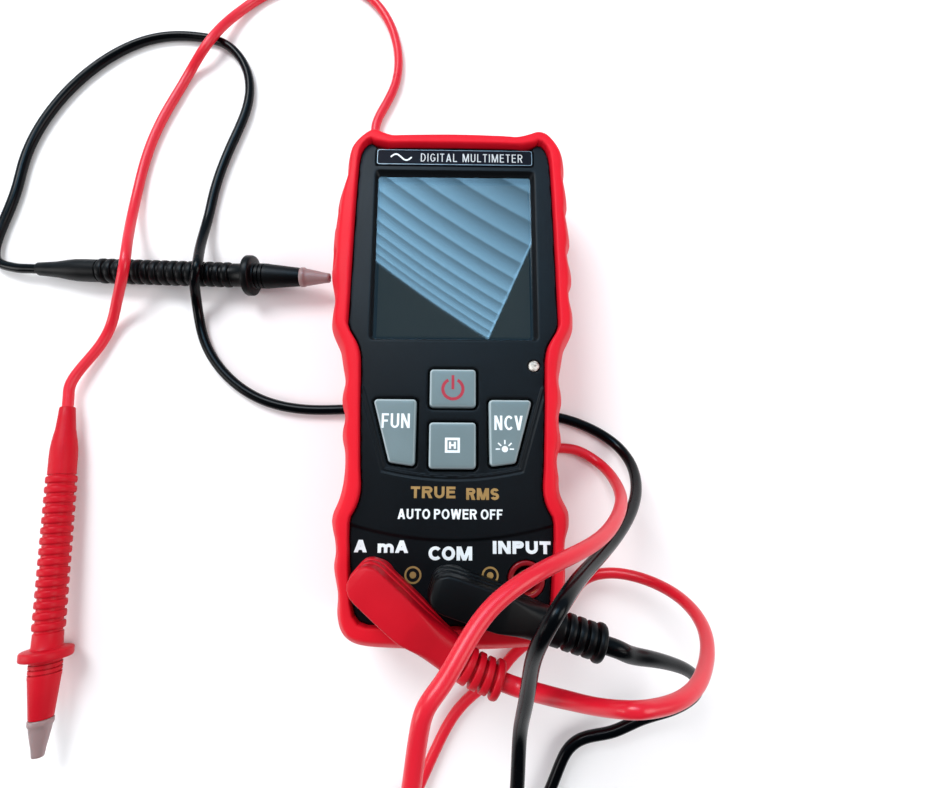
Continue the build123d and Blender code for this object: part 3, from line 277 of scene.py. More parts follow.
# by material slot
MATERIALS = {
    "boot_red": plastic("holster_rubber", color=(0.66, 0.005, 0.018), rough=0.50, spec=0.15,
                        grain=5200, bump=0.10, bump_mm=0.03, mottle=0.03, coat_rough=0.35,
                        rough_var=0.06, large=45, sss=0.05),
    "shell_black": plastic("shell_plastic", color=(0.0012, 0.0020, 0.0030), rough=0.44,
                           spec=0.18, grain=7000, bump=0.35, bump_mm=0.05, mottle=0.05,
                           rough_var=0.05, large=30),
    "strip_black": plastic("strip_lacquer", color=(0.007, 0.0075, 0.012), rough=0.34,
                           spec=0.03, grain=3000, bump=0.03, mottle=0.05),
    "key_grey": plastic("key_plastic", color=(0.140, 0.198, 0.215), rough=0.40, spec=0.4,
                        grain=6500, bump=0.16, bump_mm=0.03, mottle=0.03, large=70),
    "ring_red": plastic("jack_ring_red", color=(0.24, 0.004, 0.009), rough=0.32, spec=0.3,
                        grain=3000),
    "ring_black": plastic("jack_ring_black", color=(0.010, 0.011, 0.012), rough=0.3, grain=3000),
    "lead_red": plastic("lead_pvc_red", color=(0.64, 0.008, 0.024), rough=0.34, spec=0.35,
                        grain=2600, bump=0.06, bump_mm=0.03, mottle=0.03, coat=0.10,
                        coat_rough=0.25, sss=0.08, large=35),
    "plug_red": plastic("plug_pvc_red", color=(0.50, 0.003, 0.013), rough=0.42, spec=0.16,
                        grain=3600, bump=0.10, bump_mm=0.03, mottle=0.05, coat_rough=0.3,
                        sss=0.05),
    "lead_black": plastic("lead_pvc_black", color=(0.0012, 0.0017, 0.0024), rough=0.24,
                          spec=0.13, grain=2600, bump=0.06, mottle=0.05),
    "plug_black": plastic("plug_pvc_black", color=(0.0012, 0.0014, 0.0018), rough=0.42,
                          spec=0.16, grain=3600, bump=0.12),
    "silicone_grey": plastic("mat_silicone", color=(0.35, 0.36, 0.36), rough=0.6),
    "zebra_rubber": plastic("zebra_elastomer", color=(0.25, 0.25, 0.26), rough=0.6),
    "component_black": plastic("component_resin", color=(0.02, 0.02, 0.021), rough=0.5,
                               grain=5000, bump=0.2),
    "led_white": plastic("lamp_body", color=(0.8, 0.8, 0.74), rough=0.35),
    "ptc_blue": plastic("ptc_lacquer", color=(0.02, 0.09, 0.34), rough=0.3, coat=0.3),
    "fuse_ceramic": plastic("fuse_ceramic", color=(0.78, 0.76, 0.70), rough=0.4, mottle=0.03),
    "diffuser_white": plastic("diffuser_sheet", color=(0.85, 0.85, 0.82), rough=0.6),
    "guard_clear": plastic("guard_soft_plastic", color=(0.36, 0.25, 0.25), rough=0.40,
                           spec=0.4, grain=2500, mottle=0.04, sss=0.25, trans=0.25),
    "display_glass": plastic("display_polariser", color=(0.29, 0.27, 0.205), rough=0.5,
                             spec=0.02, grain=900, bump=0.01, mottle=0.10, large=22),
    "contact_brass": plastic("turned_brass", color=(0.80, 0.56, 0.22), rough=0.26,
                             metallic=1.0, grain=2500, mottle=0.05),
    "steel_plated": plastic("bright_plate", color=(0.72, 0.73, 0.74), rough=0.22,
                            metallic=1.0, grain=2500, mottle=0.04),
}
# Painted glow: the unlit display is given a faint olive emission to brighten it.
setup(MATERIALS["display_glass"].node_tree.nodes["Principled BSDF"],
      in_Emission_Color=(0.052, 0.048, 0.028, 1), in_Emission_Strength=1.0)
# Painted highlight: a pale tint on the keys' rounded edges, as where light catches them.
paint_edge_highlight(MATERIALS["key_grey"], color=(0.40, 0.50, 0.53))
MATERIALS["board_green"] = board_material()
MATERIALS["cell_wrap"] = cell_material()
MATERIALS["window_clear"] = window_material()
INK_WHITE, INK_GOLD, INK_RED, INK_SILVER = [
    plastic(name, color=color, rough=rough, grain=5000, bump=0.08, mottle=0.05, large=250)
    for name, color, rough in (("ink_white", (0.78, 0.86, 0.90), 0.45),
                               ("ink_gold", (0.33, 0.205, 0.065), 0.38),
                               ("ink_red", (0.36, 0.012, 0.032), 0.45),
                               ("ink_silver", (0.50, 0.52, 0.53), 0.35))]
TITLE_EDGE = plastic("strip_silver_edge", color=(0.16, 0.18, 0.19), rough=0.35, metallic=0.6,
                     grain=2500, bump=0.1, large=300, mottle=0.2)


# ---------------------------------------------------------------- mesh helpers
def new_object(name, mesh, material):
    made = bpy.data.objects.new(name, mesh)
    bpy.context.scene.collection.objects.link(made)
    mesh.materials.append(material)
    return made


def shade(mesh, sharp):
    mesh.shade_smooth()
    mesh.set_sharp_from_angle(angle=math.radians(sharp))


def mesh_from(name, surface):
    verts, faces = surface
    mesh = bpy.data.meshes.new(name)
    mesh.from_pydata([tuple(float(c) * MM for c in v) for v in verts], [],
                     [tuple(int(i) for i in f) for f in faces])
    return mesh


def register(made, body, replaces):
    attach(made, body)
    if replaces:
        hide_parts(replaces)


def solid(name, surface, slot=None, material=None, body="meter", sharp=None, replaces=None):
    """Piece from (verts, faces). Smooth up to the sharp angle, or flat-shaded without one."""
    mesh = mesh_from(name, surface)
    mesh.validate()
    edit = bmesh.new()
    edit.from_mesh(mesh)
    bmesh.ops.remove_doubles(edit, verts=edit.verts, dist=1e-7)
    bmesh.ops.recalc_face_normals(edit, faces=edit.faces)
    edit.to_mesh(mesh)
    edit.free()
    made = new_object(name, mesh, material or MATERIALS[slot])
    if sharp:
        shade(mesh, sharp)
    register(made, body, replaces)


def big_solid(name, verts, quads, slot, sharp, replaces):
    """Piece from large arrays, with its faces turned outward by the sign of its volume."""
    mesh = bpy.data.meshes.new(name)
    mesh.vertices.add(len(verts))
    mesh.vertices.foreach_set("co", (verts * MM).astype(np.float32).ravel())
    first, second, third, fourth = (verts[quads[:, i]] for i in range(4))
    normal = (np.cross(second - first, third - first) + np.cross(third - first, fourth - first))
    if (normal * ((first + third) / 2)).sum() < 0:
        quads = quads[:, ::-1]
    mesh.loops.add(quads.size)
    mesh.loops.foreach_set("vertex_index", quads.ravel().astype(np.int32))
    mesh.polygons.add(len(quads))
    mesh.polygons.foreach_set("loop_start", np.arange(0, quads.size, 4, dtype=np.int32))
    mesh.update(calc_edges=True)
    mesh.validate()
    made = new_object(name, mesh, MATERIALS[slot])
    shade(mesh, sharp)
    register(made, "meter", replaces)


def rings(loops, ends="open"):
    """Quads between loops of equal length. Ends are open, capped, or joined to each other."""
    count = len(loops[0])
    verts = [point for loop in loops for point in loop]
    faces = []
    for k in range(len(loops) if ends == "joined" else len(loops) - 1):
        low, high = k * count, (k + 1) % len(loops) * count
        for i in range(count):
            j = (i + 1) % count
            faces.append((low + i, low + j, high + j, high + i))
    if ends == "capped":
        faces.append(tuple(reversed(range(count))))
        faces.append(tuple(range(len(verts) - count, len(verts))))
    return verts, faces


def strip_caps(size, last):
    """Quad strips over the last and the first ring, each out along one side and back."""
    steps = range(size // 2 - 1)
    over_last = [(last + i, last + i + 1, last + size - 2 - i, last + size - 1 - i)
                 for i in steps]
    over_first = [(i + 1, i, size - 1 - i, size - 2 - i) for i in steps]
    return over_last, over_first


def merge(*parts):
    verts, faces = [], []
    for part_verts, part_faces in parts:
        offset = len(verts)
        verts += list(part_verts)
        faces += [tuple(i + offset for i in face) for face in part_faces]
    return verts, faces


def lathe(profile, point_at, segments):
    """Rows of points over (radius, station) pairs. A radius of 0 closes an end."""
    verts, rows, faces = [], [], []
    for radius, station in profile:
        count = segments if radius else 1
        rows.append(range(len(verts), len(verts) + count))
        for i in range(count):
            angle = 2 * math.pi * i / segments
            verts.append(point_at(radius, station, math.cos(angle), math.sin(angle)))
    for near, far in zip(rows, rows[1:]):
        for i in range(segments):
            j = (i + 1) % segments
            if len(near) == 1:
                faces.append((near[0], far[j], far[i]))
            elif len(far) == 1:
                faces.append((near[i], near[j], far[0]))
            else:
                faces.append((near[i], near[j], far[j], far[i]))
    return verts, faces


def turned(profile, origin, axis, segments):
    """Surface of revolution; stations are distances from origin along axis."""
    axis = Vector(axis).normalized()
    side = axis.orthogonal().normalized()
    other = axis.cross(side)
    origin = Vector(origin)

    def point_at(radius, station, cos, sin):
        return tuple(origin + axis * station + (side * cos + other * sin) * radius)

    return lathe(profile, point_at, segments)


def upright(profile, place, segments):
    return turned(profile, (*place, 0), (0, 0, 1), segments)


def corners(box, grow=0.0):
    """Box corners, clockwise from the upper left."""
    left, right, low, high = box
    return [(left - grow, high + grow), (right + grow, high + grow),
            (right + grow, low - grow), (left - grow, low - grow)]


def rounded_outline(points, inset, radius, steps=10):
    """Clockwise convex polygon moved inward by inset, with its corners rounded."""
    points = [Vector(p) for p in points]
    lines = []
    for start, end in zip(points, points[1:] + points[:1]):
        along = (end - start).normalized()
        lines.append((start + Vector((along.y, -along.x)) * inset, along))
    outline = []
    for i in range(len(lines)):
        (start, before), (end, after) = lines[i - 1], lines[i]
        cross = before.x * after.y - before.y * after.x
        share = ((end - start).x * after.y - (end - start).y * after.x) / cross
        corner = start + before * share
        turn = math.acos(max(-1, min(1, before.dot(after))))
        tangent = corner - before * (radius * math.tan(turn / 2))
        centre = tangent + Vector((before.y, -before.x)) * radius
        first = math.atan2((tangent - centre).y, (tangent - centre).x)
        for step in range(steps + 1):
            angle = first - turn * step / steps
            outline.append((centre.x + radius * math.cos(angle),
                            centre.y + radius * math.sin(angle)))
    return outline


def outline_rings(points, stations):
    """One rounded loop for each (inset, z, corner radius)."""
    return [[(x, y, z) for x, y in rounded_outline(points, inset, radius)]
            for inset, z, radius in stations]


def signed_distance(points, outline):
    """Distance to a closed outline, negative inside."""
    outline = np.asarray(outline, float)
    outline = outline[np.linalg.norm(outline - np.roll(outline, 1, axis=0), axis=1) > 1e-6]
    nearest = np.full(len(points), 1e18)
    inside = np.zeros(len(points), bool)
    for start, end in zip(outline, np.roll(outline, -1, axis=0)):
        side = end - start
        away = points - start
        share = np.clip((away @ side) / (side @ side), 0, 1)
        miss = away - share[:, None] * side
        nearest = np.minimum(nearest, (miss * miss).sum(1))
        if abs(side[1]) > 1e-12:
            crosses = (start[1] > points[:, 1]) != (end[1] > points[:, 1])
            x = start[0] + (points[:, 1] - start[1]) / side[1] * side[0]
            inside ^= crosses & (points[:, 0] < x)
    return np.where(inside, -np.sqrt(nearest), np.sqrt(nearest))


def nearest_on(outline, points):
    """The point of a closed outline nearest to each given point."""
    best = np.full(len(points), 1e18)
    found = points.copy()
    for start, end in zip(outline, np.roll(outline, -1, axis=0)):
        side = end - start
        share = np.clip(((points - start) @ side) / (side @ side), 0, 1)
        foot_point = start + share[:, None] * side
        gap = ((points - foot_point) ** 2).sum(1)
        closer = gap < best
        best[closer] = gap[closer]
        found[closer] = foot_point[closer]
    return found


def smoothstep(value, start, end):
    share = np.clip((value - start) / (end - start), 0, 1)
    return share * share * (3 - 2 * share)


def arc_lengths(points):
    return np.r_[0, np.cumsum(np.linalg.norm(np.diff(points, axis=0), axis=1))]


def catmull_rom(points, steps):
    """Curve from the second point up to, not including, the last but one."""
    curve = []
    for before, here, after, beyond in zip(points, points[1:], points[2:], points[3:]):
        for step in range(steps):
            t = step / steps
            curve.append(0.5 * (2 * here + (after - before) * t
                                + (2 * before - 5 * here + 4 * after - beyond) * t * t
                                + (-before + 3 * here - 3 * after + beyond) * t ** 3))
    return np.array(curve)


def smooth_closed(points, count):
    """Closed smooth curve through points, resampled to equal steps."""
    points = np.asarray(points, float)
    curve = catmull_rom(np.vstack([points[-1:], points, points[:2]]), 24)
    curve = np.vstack([curve, curve[:1]])
    lengths = arc_lengths(curve)
    wanted = np.linspace(0, lengths[-1], count, endpoint=False)
    return np.c_[np.interp(wanted, lengths, curve[:, 0]), np.interp(wanted, lengths, curve[:, 1])]


def blur_closed(points, sigma):
    """Gaussian blur round a closed loop; sigma counts points."""
    reach = int(3 * sigma) + 1
    shifts = np.arange(-reach, reach + 1)
    weights = np.exp(-0.5 * (shifts / sigma) ** 2)
    weights /= weights.sum()
    blurred = np.zeros_like(points)
    for shift, weight in zip(shifts, weights):
        blurred += weight * np.roll(points, shift, axis=0)
    return blurred


# ---------------------------------------------------------------- holster
def holster_outline():
    """Outer outline: the top edge dips between two corner ears, the left shoulder is cut."""
    outline = blur_closed(smooth_closed(HOLSTER, 900), 2.2)
    y = outline[:, 1].copy()
    middle = 1 - smoothstep(np.abs(outline[:, 0]), 20.0, 24.5)
    outline[:, 1] -= 1.3 * smoothstep(y, 68.0, 80.0) + 1.1 * smoothstep(y, 72.0, 80.0) * middle
    outline[:, 0] += (1.2 * smoothstep(y, 55.0, 66.0) * smoothstep(-outline[:, 0], 20.0, 30.0))
    return outline


OUTER = holster_outline()
INNER = nearest_on(FACE, OUTER)
INNER_SMOOTH = blur_closed(INNER, 3.5)
GRIPS_LEFT_Y = (50.0, 35.3)
GRIPS_RIGHT_Y = (51.0, 37.6, 24.2)
# z, share of the way from the face outline to the outer outline
HOLSTER_PROFILE = [
    (33.5, 0.008), (36.6, 0.010), (37.3, 0.018), (37.65, 0.035), (37.86, 0.06), (37.96, 0.09),
    (38.0, 0.13), (37.98, 0.22), (37.93, 0.32), (37.85, 0.41), (37.74, 0.47), (37.56, 0.515),
    (37.28, 0.555), (36.86, 0.595), (36.2, 0.642), (35.4, 0.695), (34.4, 0.755), (33.2, 0.82),
    (31.8, 0.885), (30.2, 0.945), (28.4, 0.985), (26.5, 1.0), (24.0, 0.998), (21.0, 0.990),
    (18.0, 0.978), (15.0, 0.962), (12.0, 0.940), (9.6, 0.905), (7.8, 0.862), (6.5, 0.80),
    (5.5, 0.73), (4.85, 0.665), (4.5, 0.60)]
UNDER_Z, OPENING_TOP_Z, WALL_SHARE = 4.5, 7.38, 0.008
# rounded rectangular opening in the underside
OPENING_CENTRE = np.array([0.0, 4.25])
OPENING_HALF = np.array([25.4, 67.25])
OPENING_RADIUS = 3.0
# name, outline places where it starts and ends (clockwise), inner and outer share
FEET = [
    ("foot_upper", (-15.7, 82.7), (34.1, -6.0), 0.06, 0.52),
    ("foot_left", (-35.8, 0.9), (-38.1, 64.0), 0.22, 0.56),
    ("foot_lower", (33.3, -35.3), (-33.8, -37.9), 0.06, 0.50)]


def at_height(plan, z):
    return np.c_[plan, np.full(len(plan), z)]


def holster_ring(z, share):
    """One loop of the holster, scooped on the left flank and scalloped on the right."""
    smoothing = min(1, share / 0.15)
    base = INNER
    if share > 0.02:
        base = INNER_SMOOTH * smoothing + INNER * (1 - smoothing)
    away = OUTER - base
    outward = away / np.maximum(np.linalg.norm(away, axis=1), 1e-6)[:, None]
    x, y = OUTER.T
    left = sum(np.exp(-((y - grip) / 3.0) ** 4) * (x < 0) for grip in GRIPS_LEFT_Y)
    right = sum(0.6 * np.exp(-((y - grip) / 2.2) ** 2) * (x > 0) for grip in GRIPS_RIGHT_Y)
    depth = (1.9 * left * math.exp(-((z - 32.6) / 1.9) ** 2)
             + 1.7 * right * math.exp(-((z - 28.0) / 4.2) ** 2))
    depth = depth * float(smoothstep(share, 0.45, 0.62))      # outer flank only
    return at_height(base + away * share - outward * depth[:, None], z)


def opening_ring(z, grow=0.0):
    """The opening's outline, met along the directions of the outer outline's points."""
    half = OPENING_HALF + grow
    radius = OPENING_RADIUS + grow
    corner = half - radius
    ring = []
    for away in OUTER - OPENING_CENTRE:
        point = away * min(half / np.maximum(np.abs(away), 1e-9))
        if all(np.abs(point) > corner):
            ray = np.abs(away) / np.linalg.norm(away)
            along = ray @ corner
            reach = along + math.sqrt(max(0.0, along ** 2 - (corner @ corner - radius ** 2)))
            point = ray * reach * np.sign(away)
        ring.append(point + OPENING_CENTRE)
    return at_height(np.array(ring), z)


def holster():
    """Over the land, down the flank, in under the lip, then back up inside."""
    loops = [holster_ring(z, share) for z, share in HOLSTER_PROFILE]
    loops += [loops[-1] * 0.35 + opening_ring(UNDER_Z, 0.5) * 0.65,
              opening_ring(UNDER_Z, 0.3), opening_ring(4.8), opening_ring(OPENING_TOP_Z),
              holster_ring(OPENING_TOP_Z, WALL_SHARE), holster_ring(20.0, WALL_SHARE)]
    verts, quads = rings(loops, "joined")
    big_solid("holster", np.array(verts), np.array(quads), "boot_red", 50, "boot")


def foot(name, start, end, inner, outer):
    """Ridge under the lip, following the outline between two places."""
    first, last = (int(np.argmin(((OUTER - np.array(place)) ** 2).sum(1)))
                   for place in (start, end))
    total = len(OUTER)
    ids = [(first + k) % total for k in range(0, (last - first) % total + 1, 3)]

    def side(share, z, order, cut):
        line = [tuple(INNER_SMOOTH[i] + (OUTER[i] - INNER_SMOOTH[i]) * share) + (z,)
                for i in order]
        line = line[cut:len(line) - cut]
        return [line[0]] * cut + line + [line[-1]] * cut

    # z, inset as a share, end points drawn in
    loops = [side(outer - inset, z, ids, cut) + side(inner + inset, z, ids[::-1], cut)
             for z, inset, cut in ((4.7, 0, 0), (0.5, 0, 0), (0.12, 0.03, 0), (0.0, 0.08, 2))]
    verts, faces = rings(loops)
    over_last, over_first = strip_caps(2 * len(ids), 3 * 2 * len(ids))
    solid(name, (verts, faces + over_last + over_first), "boot_red", sharp=40)


holster()
for spec in FEET:
    foot(*spec)


# ---------------------------------------------------------------- front face
def rounded_box(box, radius, grow=0.0):
    return rounded_outline(corners(box, grow), 0.0, radius, 8)


def radial(plan, place):
    return np.hypot(plan[:, 0] - place[0], plan[:, 1] - place[1])


def within(distance, start, end):
    """1 up to start, easing to 0 at end."""
    return 1 - smoothstep(distance, start, end)


def bump_at(distance, width):
    return np.exp(-(distance / width) ** 2)


def face_heights(plan, edge):
    """Height of the moulded face at each plan point."""
    low_arc = [(x, -33.75 - 2.55 * (1 - (x / 21.25) ** 2))
               for x in (21.25 - 42.5 * i / 40 for i in range(41))]
    upper = signed_distance(plan, [
        (21.25, -33.75), (28.45, -9.0), (45, -9.0), (45, 90), (-45, 90), (-45, -9.0),
        (-28.45, -9.0)] + low_arc[::-1])
    jack_arc = [(x, -53.2 + 4.6 * (x / 30.6) ** 2) for x in (34 - 68 * i / 40 for i in range(41))]
    jack_area = signed_distance(plan, jack_arc + [(-45, -48), (-45, -95), (45, -95), (45, -48)])
    # two steps down, with a low ridge between, into the key and display area; one to the jacks
    height = np.full(len(plan), Z_FACE)
    height -= 0.26 * within(upper, -0.15, 0.20)
    height -= 0.34 * within(upper, -1.45, -1.10)
    height += 0.10 * bump_at(upper + 0.95, 0.25) * (upper < 0.2)
    height -= (Z_FACE - Z_JACK) * within(jack_area, -0.75, 0.15)
    # sloping frame round the display, a faint groove outside it, a sharp drop inside it
    bezel = signed_distance(plan, rounded_box((-26.5, 26.9, 7.0, 66.0), 1.2))
    view = signed_distance(plan, rounded_box(VIEW_BOX, 0.9))
    share = np.clip(-bezel / np.maximum(-bezel + np.maximum(view, 0), 1e-6), 0, 1)
    height = np.where(bezel < 0, Z_UPPER - 1.25 * smoothstep(share, 0.0, 1.0) ** 0.8, height)
    height -= 0.06 * bump_at(np.maximum(bezel, 0), 0.25) * (bezel >= 0)
    height = np.where(view < 0, height - 1.9 * smoothstep(-view, 0.0, 0.30), height)
    # seat of the title plate
    seat = signed_distance(plan, rounded_box(TITLE_BOX, 0.9, grow=0.25))
    height -= 0.75 * within(seat, -0.12, 0.18)
    # key wells, each with a softened rim
    for points in KEYS.values():
        well = signed_distance(plan, rounded_outline(points, -0.50, 1.6))
        height -= 2.4 * within(well, -0.30, 0.30) + 0.05 * bump_at(np.maximum(well - 0.2, 0), 0.5)
    for place in JACKS.values():
        height -= 2.2 * within(radial(plan, place), 5.32, 5.55)
    height -= 2.0 * within(radial(plan, SENSOR), 1.72, 2.02)
    # rolled edge against the holster
    height -= 1.1 * within(-edge, 0.0, 0.42)
    return height


def face_mask(plan, edge):
    """Points kept: inside the outline, clear of the display, the jacks and the sensor."""
    keep = edge < 0.30
    keep &= ~(signed_distance(plan, rounded_box(VIEW_BOX, 0.5, grow=-1.0)) < 0)
    for place in JACKS.values():
        keep &= radial(plan, place) > 4.7
    return keep & (radial(plan, SENSOR) > 1.2)


def front_face():
    """One moulded skin on a square grid, closed by a copy below it."""
    step = 0.24
    grid_x, grid_y = np.meshgrid(np.arange(-34.0, 34.0 + step / 2, step),
                                 np.arange(-78.0, 77.0 + step / 2, step))
    rows, columns = grid_x.shape
    plan = np.c_[grid_x.ravel(), grid_y.ravel()]
    edge = signed_distance(plan, FACE)
    points = np.c_[plan, face_heights(plan, edge)]
    keep = face_mask(plan, edge).reshape(rows, columns)
    row, column = np.nonzero(keep[:-1, :-1] & keep[1:, :-1] & keep[:-1, 1:] & keep[1:, 1:])
    first = row * columns + column
    quads = np.c_[first, first + 1, first + columns + 1, first + columns]
    used = np.unique(quads)
    renumber = -np.ones(len(points), int)
    renumber[used] = np.arange(len(used))
    quads = renumber[quads]
    top = points[used]
    count = len(top)
    below = top.copy()
    below[:, 2] = np.minimum(top[:, 2] - 0.7, 33.0)
    # walls along every edge that belongs to one cell only
    edges = np.vstack([quads[:, [i, (i + 1) % 4]] for i in range(4)])
    _, which, times = np.unique(np.sort(edges, axis=1), axis=0, return_inverse=True,
                                return_counts=True)
    free = edges[times[which.ravel()] == 1]
    walls = np.c_[free[:, 1], free[:, 0], free[:, 0] + count, free[:, 1] + count]
    big_solid("front_shell_face", np.vstack([top, below]),
              np.vstack([quads, quads[:, ::-1] + count, walls]), "shell_black", 48,
              "front_shell")


def front_wall():
    """Side wall of the front shell: the face outline scaled at each height."""
    loops = [[(x * scale, y * scale, z) for x, y in FACE]
             for z, scale in ((34.6, 0.992), (20.05, 0.992), (20.05, 0.94), (34.6, 0.94))]
    solid("front_shell_wall", rings(loops, "joined"), "shell_black", sharp=30)


def key_cap(name):
    shoulder = 36.9
    edge = 0.9                           # radius of the rounded top edge
    corner = 1.15
    stations = [(inset, z, corner - min(inset, 0.5))
                for inset, z in ((0.9, 32.3), (0.0, 32.6), (0.0, 34.2), (0.04, shoulder - edge))]
    for step in range(1, 9):
        angle = math.pi / 2 * step / 8
        inset = 0.04 + edge * (1 - math.cos(angle))
        stations.append((inset, shoulder - edge + edge * math.sin(angle),
                         max(0.35, corner - inset)))
    stations += [(1.2, 36.925, 0.4), (2.2, 36.94, 0.4), (3.2, KEY_TOP, 0.4)]
    solid(name + "_cap", rings(outline_rings(KEYS[name], stations), "capped"), "key_grey",
          body=name, sharp=60, replaces=name)


front_face()
front_wall()
for key in KEYS:
    key_cap(key)

# ---------------------------------------------------------------- printing
# letter widths as shares of the cap height; I is one pen wide
LETTER_WIDTHS = {
    "A": .96, "C": .90, "D": .90, "E": .76, "F": .72, "G": .96, "I": 0, "L": .72, "M": 1.18,
    "N": .88, "O": 1.0, "P": .80, "R": .88, "S": .82, "T": .78, "U": .86, "V": .92, "W": 1.32,
    "m": 1.16}


def rect(x0, y0, x1, y1):
    return [(x0, y0), (x1, y0), (x1, y1), (x0, y1)]


def arc_points(cx, cy, rx, ry, start, end, steps):
    """Points on an ellipse between two angles in degrees."""
    angles = [math.radians(start + (end - start) * i / steps) for i in range(steps + 1)]
    return [(cx + rx * math.cos(angle), cy + ry * math.sin(angle)) for angle in angles]


def circle(cx, cy, radius, count):
    angles = [2 * math.pi * i / count for i in range(count)]
    return [(cx + radius * math.cos(angle), cy + radius * math.sin(angle)) for angle in angles]


def letter(char, wide, tall, pen):
    """Strokes of a heavy sans letter, as polygons from its lower left corner."""
    thin = pen * 0.92                    # level strokes
    mid, half = wide / 2, tall / 2
    left, right = rect(0, 0, pen, tall), rect(wide - pen, 0, wide, tall)
    low, high = rect(0, 0, wide, thin), rect(0, tall - thin, wide, tall)

    def arc(cx, cy, rx, ry, start, end, steps=22):
        outer = arc_points(cx, cy, rx, ry, start, end, steps)
        inner = arc_points(cx, cy, rx - pen, ry - thin, start, end, steps)
        return [[outer[i], outer[i + 1], inner[i + 1], inner[i]] for i in range(steps)]

    def slant(top0, top1, low0, low1):
        return [(top0, tall), (low0, 0), (low1, 0), (top1, tall)]

    def level(x0, x1, y):
        return rect(x0, y - thin / 2, x1, y + thin / 2)

    if char in "PR":
        bowl = tall * .57
        radius = min(wide * .5, bowl / 2 * 1.15)
        strokes = [left, rect(0, tall - thin, wide - radius, tall),
                   rect(0, tall - bowl, wide - radius, tall - bowl + thin)]
        strokes += arc(wide - radius, tall - bowl / 2, radius, bowl / 2, -90, 90)
        if char == "R":
            y = tall - bowl + thin * .5
            strokes.append([(wide * .40, y), (wide * .40 + 1.15 * pen, y), (wide, 0),
                            (wide - 1.22 * pen, 0)])
        return strokes
    if char == "W":
        pen *= 1.08
        ends = [(min(max(top, pen / 2), wide - pen / 2), bottom) for top, bottom in (
            (0, wide * .27), (wide * .5, wide * .27), (wide * .5, wide * .73),
            (wide, wide * .73))]
        return [slant(top - pen / 2, top + pen / 2, bottom - pen / 2, bottom + pen / 2)
                for top, bottom in ends]
    if char == "m":
        radius = (wide - pen) / 4 + pen / 2
        tall *= .74
        spring = tall - radius * .9
        return ([rect(0, 0, pen, tall), rect(mid - pen / 2, 0, mid + pen / 2, spring),
                 rect(wide - pen, 0, wide, spring)]
                + arc(radius, spring, radius, radius * .9, 0, 180)
                + arc(wide - radius, spring, radius, radius * .9, 0, 180))
    wedge = 1.12 * pen                   # level width of a slanted stroke
    dip = 0.52 * pen                     # half width of M's lower point
    peak = [(mid + .58 * pen, tall), (mid - .58 * pen, tall)]
    point = (mid - .55 * pen, mid + .55 * pen)
    bend_u = min(0.42 * tall, mid * 1.05)
    bend_d = min(wide * .6, half)
    bend_s = (tall + thin) / 4
    return {
        "A": [[(0, 0), (wedge, 0)] + peak, [(wide - wedge, 0), (wide, 0)] + peak,
              rect(wide * .22, tall * .20, wide * .78, tall * .20 + thin)],
        "C": arc(wide * .575, half, wide * .575, half, 42, 318, 36),
        "D": [left, rect(0, 0, wide - bend_d, thin), rect(0, tall - thin, wide - bend_d, tall)]
             + arc(wide - bend_d, half, bend_d, half, -90, 90),
        "E": [left, low, high, level(0, wide * .93, tall * .53)],
        "F": [left, high, level(0, wide * .88, tall * .50)],
        "G": arc(mid, half, mid, half, 40, 330, 36)
             + [rect(wide * .55, tall * .5 - thin, wide, tall * .5),
                rect(wide - pen, tall * .16, wide, tall * .5)],
        "I": [left],
        "L": [left, low],
        "M": [left, right, slant(0, 1.34 * pen, mid - dip, mid + dip),
              slant(wide - 1.34 * pen, wide, mid - dip, mid + dip)],
        "N": [left, right, slant(0, wedge, wide - wedge, wide)],
        "O": arc(mid, half, mid, half, 0, 360, 48),
        "S": arc(mid, tall - bend_s, mid, bend_s, 22, 270, 30)
             + arc(mid, bend_s, mid, bend_s, 90, -158, 30),
        "T": [high, rect((wide - pen) / 2, 0, (wide + pen) / 2, tall)],
        "U": [rect(0, bend_u, pen, tall), rect(wide - pen, bend_u, wide, tall)]
             + arc(mid, bend_u, mid, bend_u, 180, 360),
        "V": [slant(0, wedge, *point), slant(wide - wedge, wide, *point)],
    }[char]


def slab(polygons, z):
    """Closed flat piece from overlapping polygons."""
    points, outlines = [], []
    for polygon in polygons:
        ids = list(range(len(points), len(points) + len(polygon)))
        points += [Vector(p) for p in polygon]
        area = sum(a[0] * b[1] - b[0] * a[1] for a, b in zip(polygon, polygon[1:] + polygon[:1]))
        outlines.append(ids if area > 0 else ids[::-1])
    result = delaunay_2d_cdt(points, [], outlines, 1, 1e-4)
    flat = result[0]
    count = len(flat)

    def cross(face):
        return (flat[face[1]] - flat[face[0]]).cross(flat[face[2]] - flat[face[0]])

    faces, sides = [], {}
    for face, sources in zip(result[2], result[5]):
        if not len(sources) or abs(cross(face)) <= 1e-9:
            continue
        face = list(face) if cross(face) >= 0 else list(face)[::-1]
        faces += [tuple(face), tuple(i + count for i in reversed(face))]
        sides.update(dict.fromkeys(zip(face, face[1:] + face[:1])))
    faces += [(b, a, a + count, b + count) for a, b in sides if (b, a) not in sides]
    return [(p.x, p.y, level) for level in (z + INK_THICK, z) for p in flat], faces


def flat_text(name, text, x_range, y_range, z, ink, pen, body="meter", gap=0.5, space=1.6):
    """Line of letters whose widths are scaled to fill x_range."""
    tall = y_range[1] - y_range[0]
    widths = [0 if char == " " else LETTER_WIDTHS[char] * tall for char in text]
    fixed = sum(space if char == " " else (pen if char == "I" else 0) for char in text)
    fixed += gap * (len(text) - 1 - 2 * text.count(" "))
    scale = (x_range[1] - x_range[0] - fixed) / sum(widths)
    x = x_range[0]
    polygons = []
    for char, width in zip(text, widths):
        if char == " ":
            x += space - gap
            continue
        wide = pen if char == "I" else width * scale
        polygons += [[(x + px, y_range[0] + py) for px, py in polygon]
                     for polygon in letter(char, wide, tall, pen)]
        x += wide + gap
    solid(name, slab(polygons, z), material=ink, body=body)


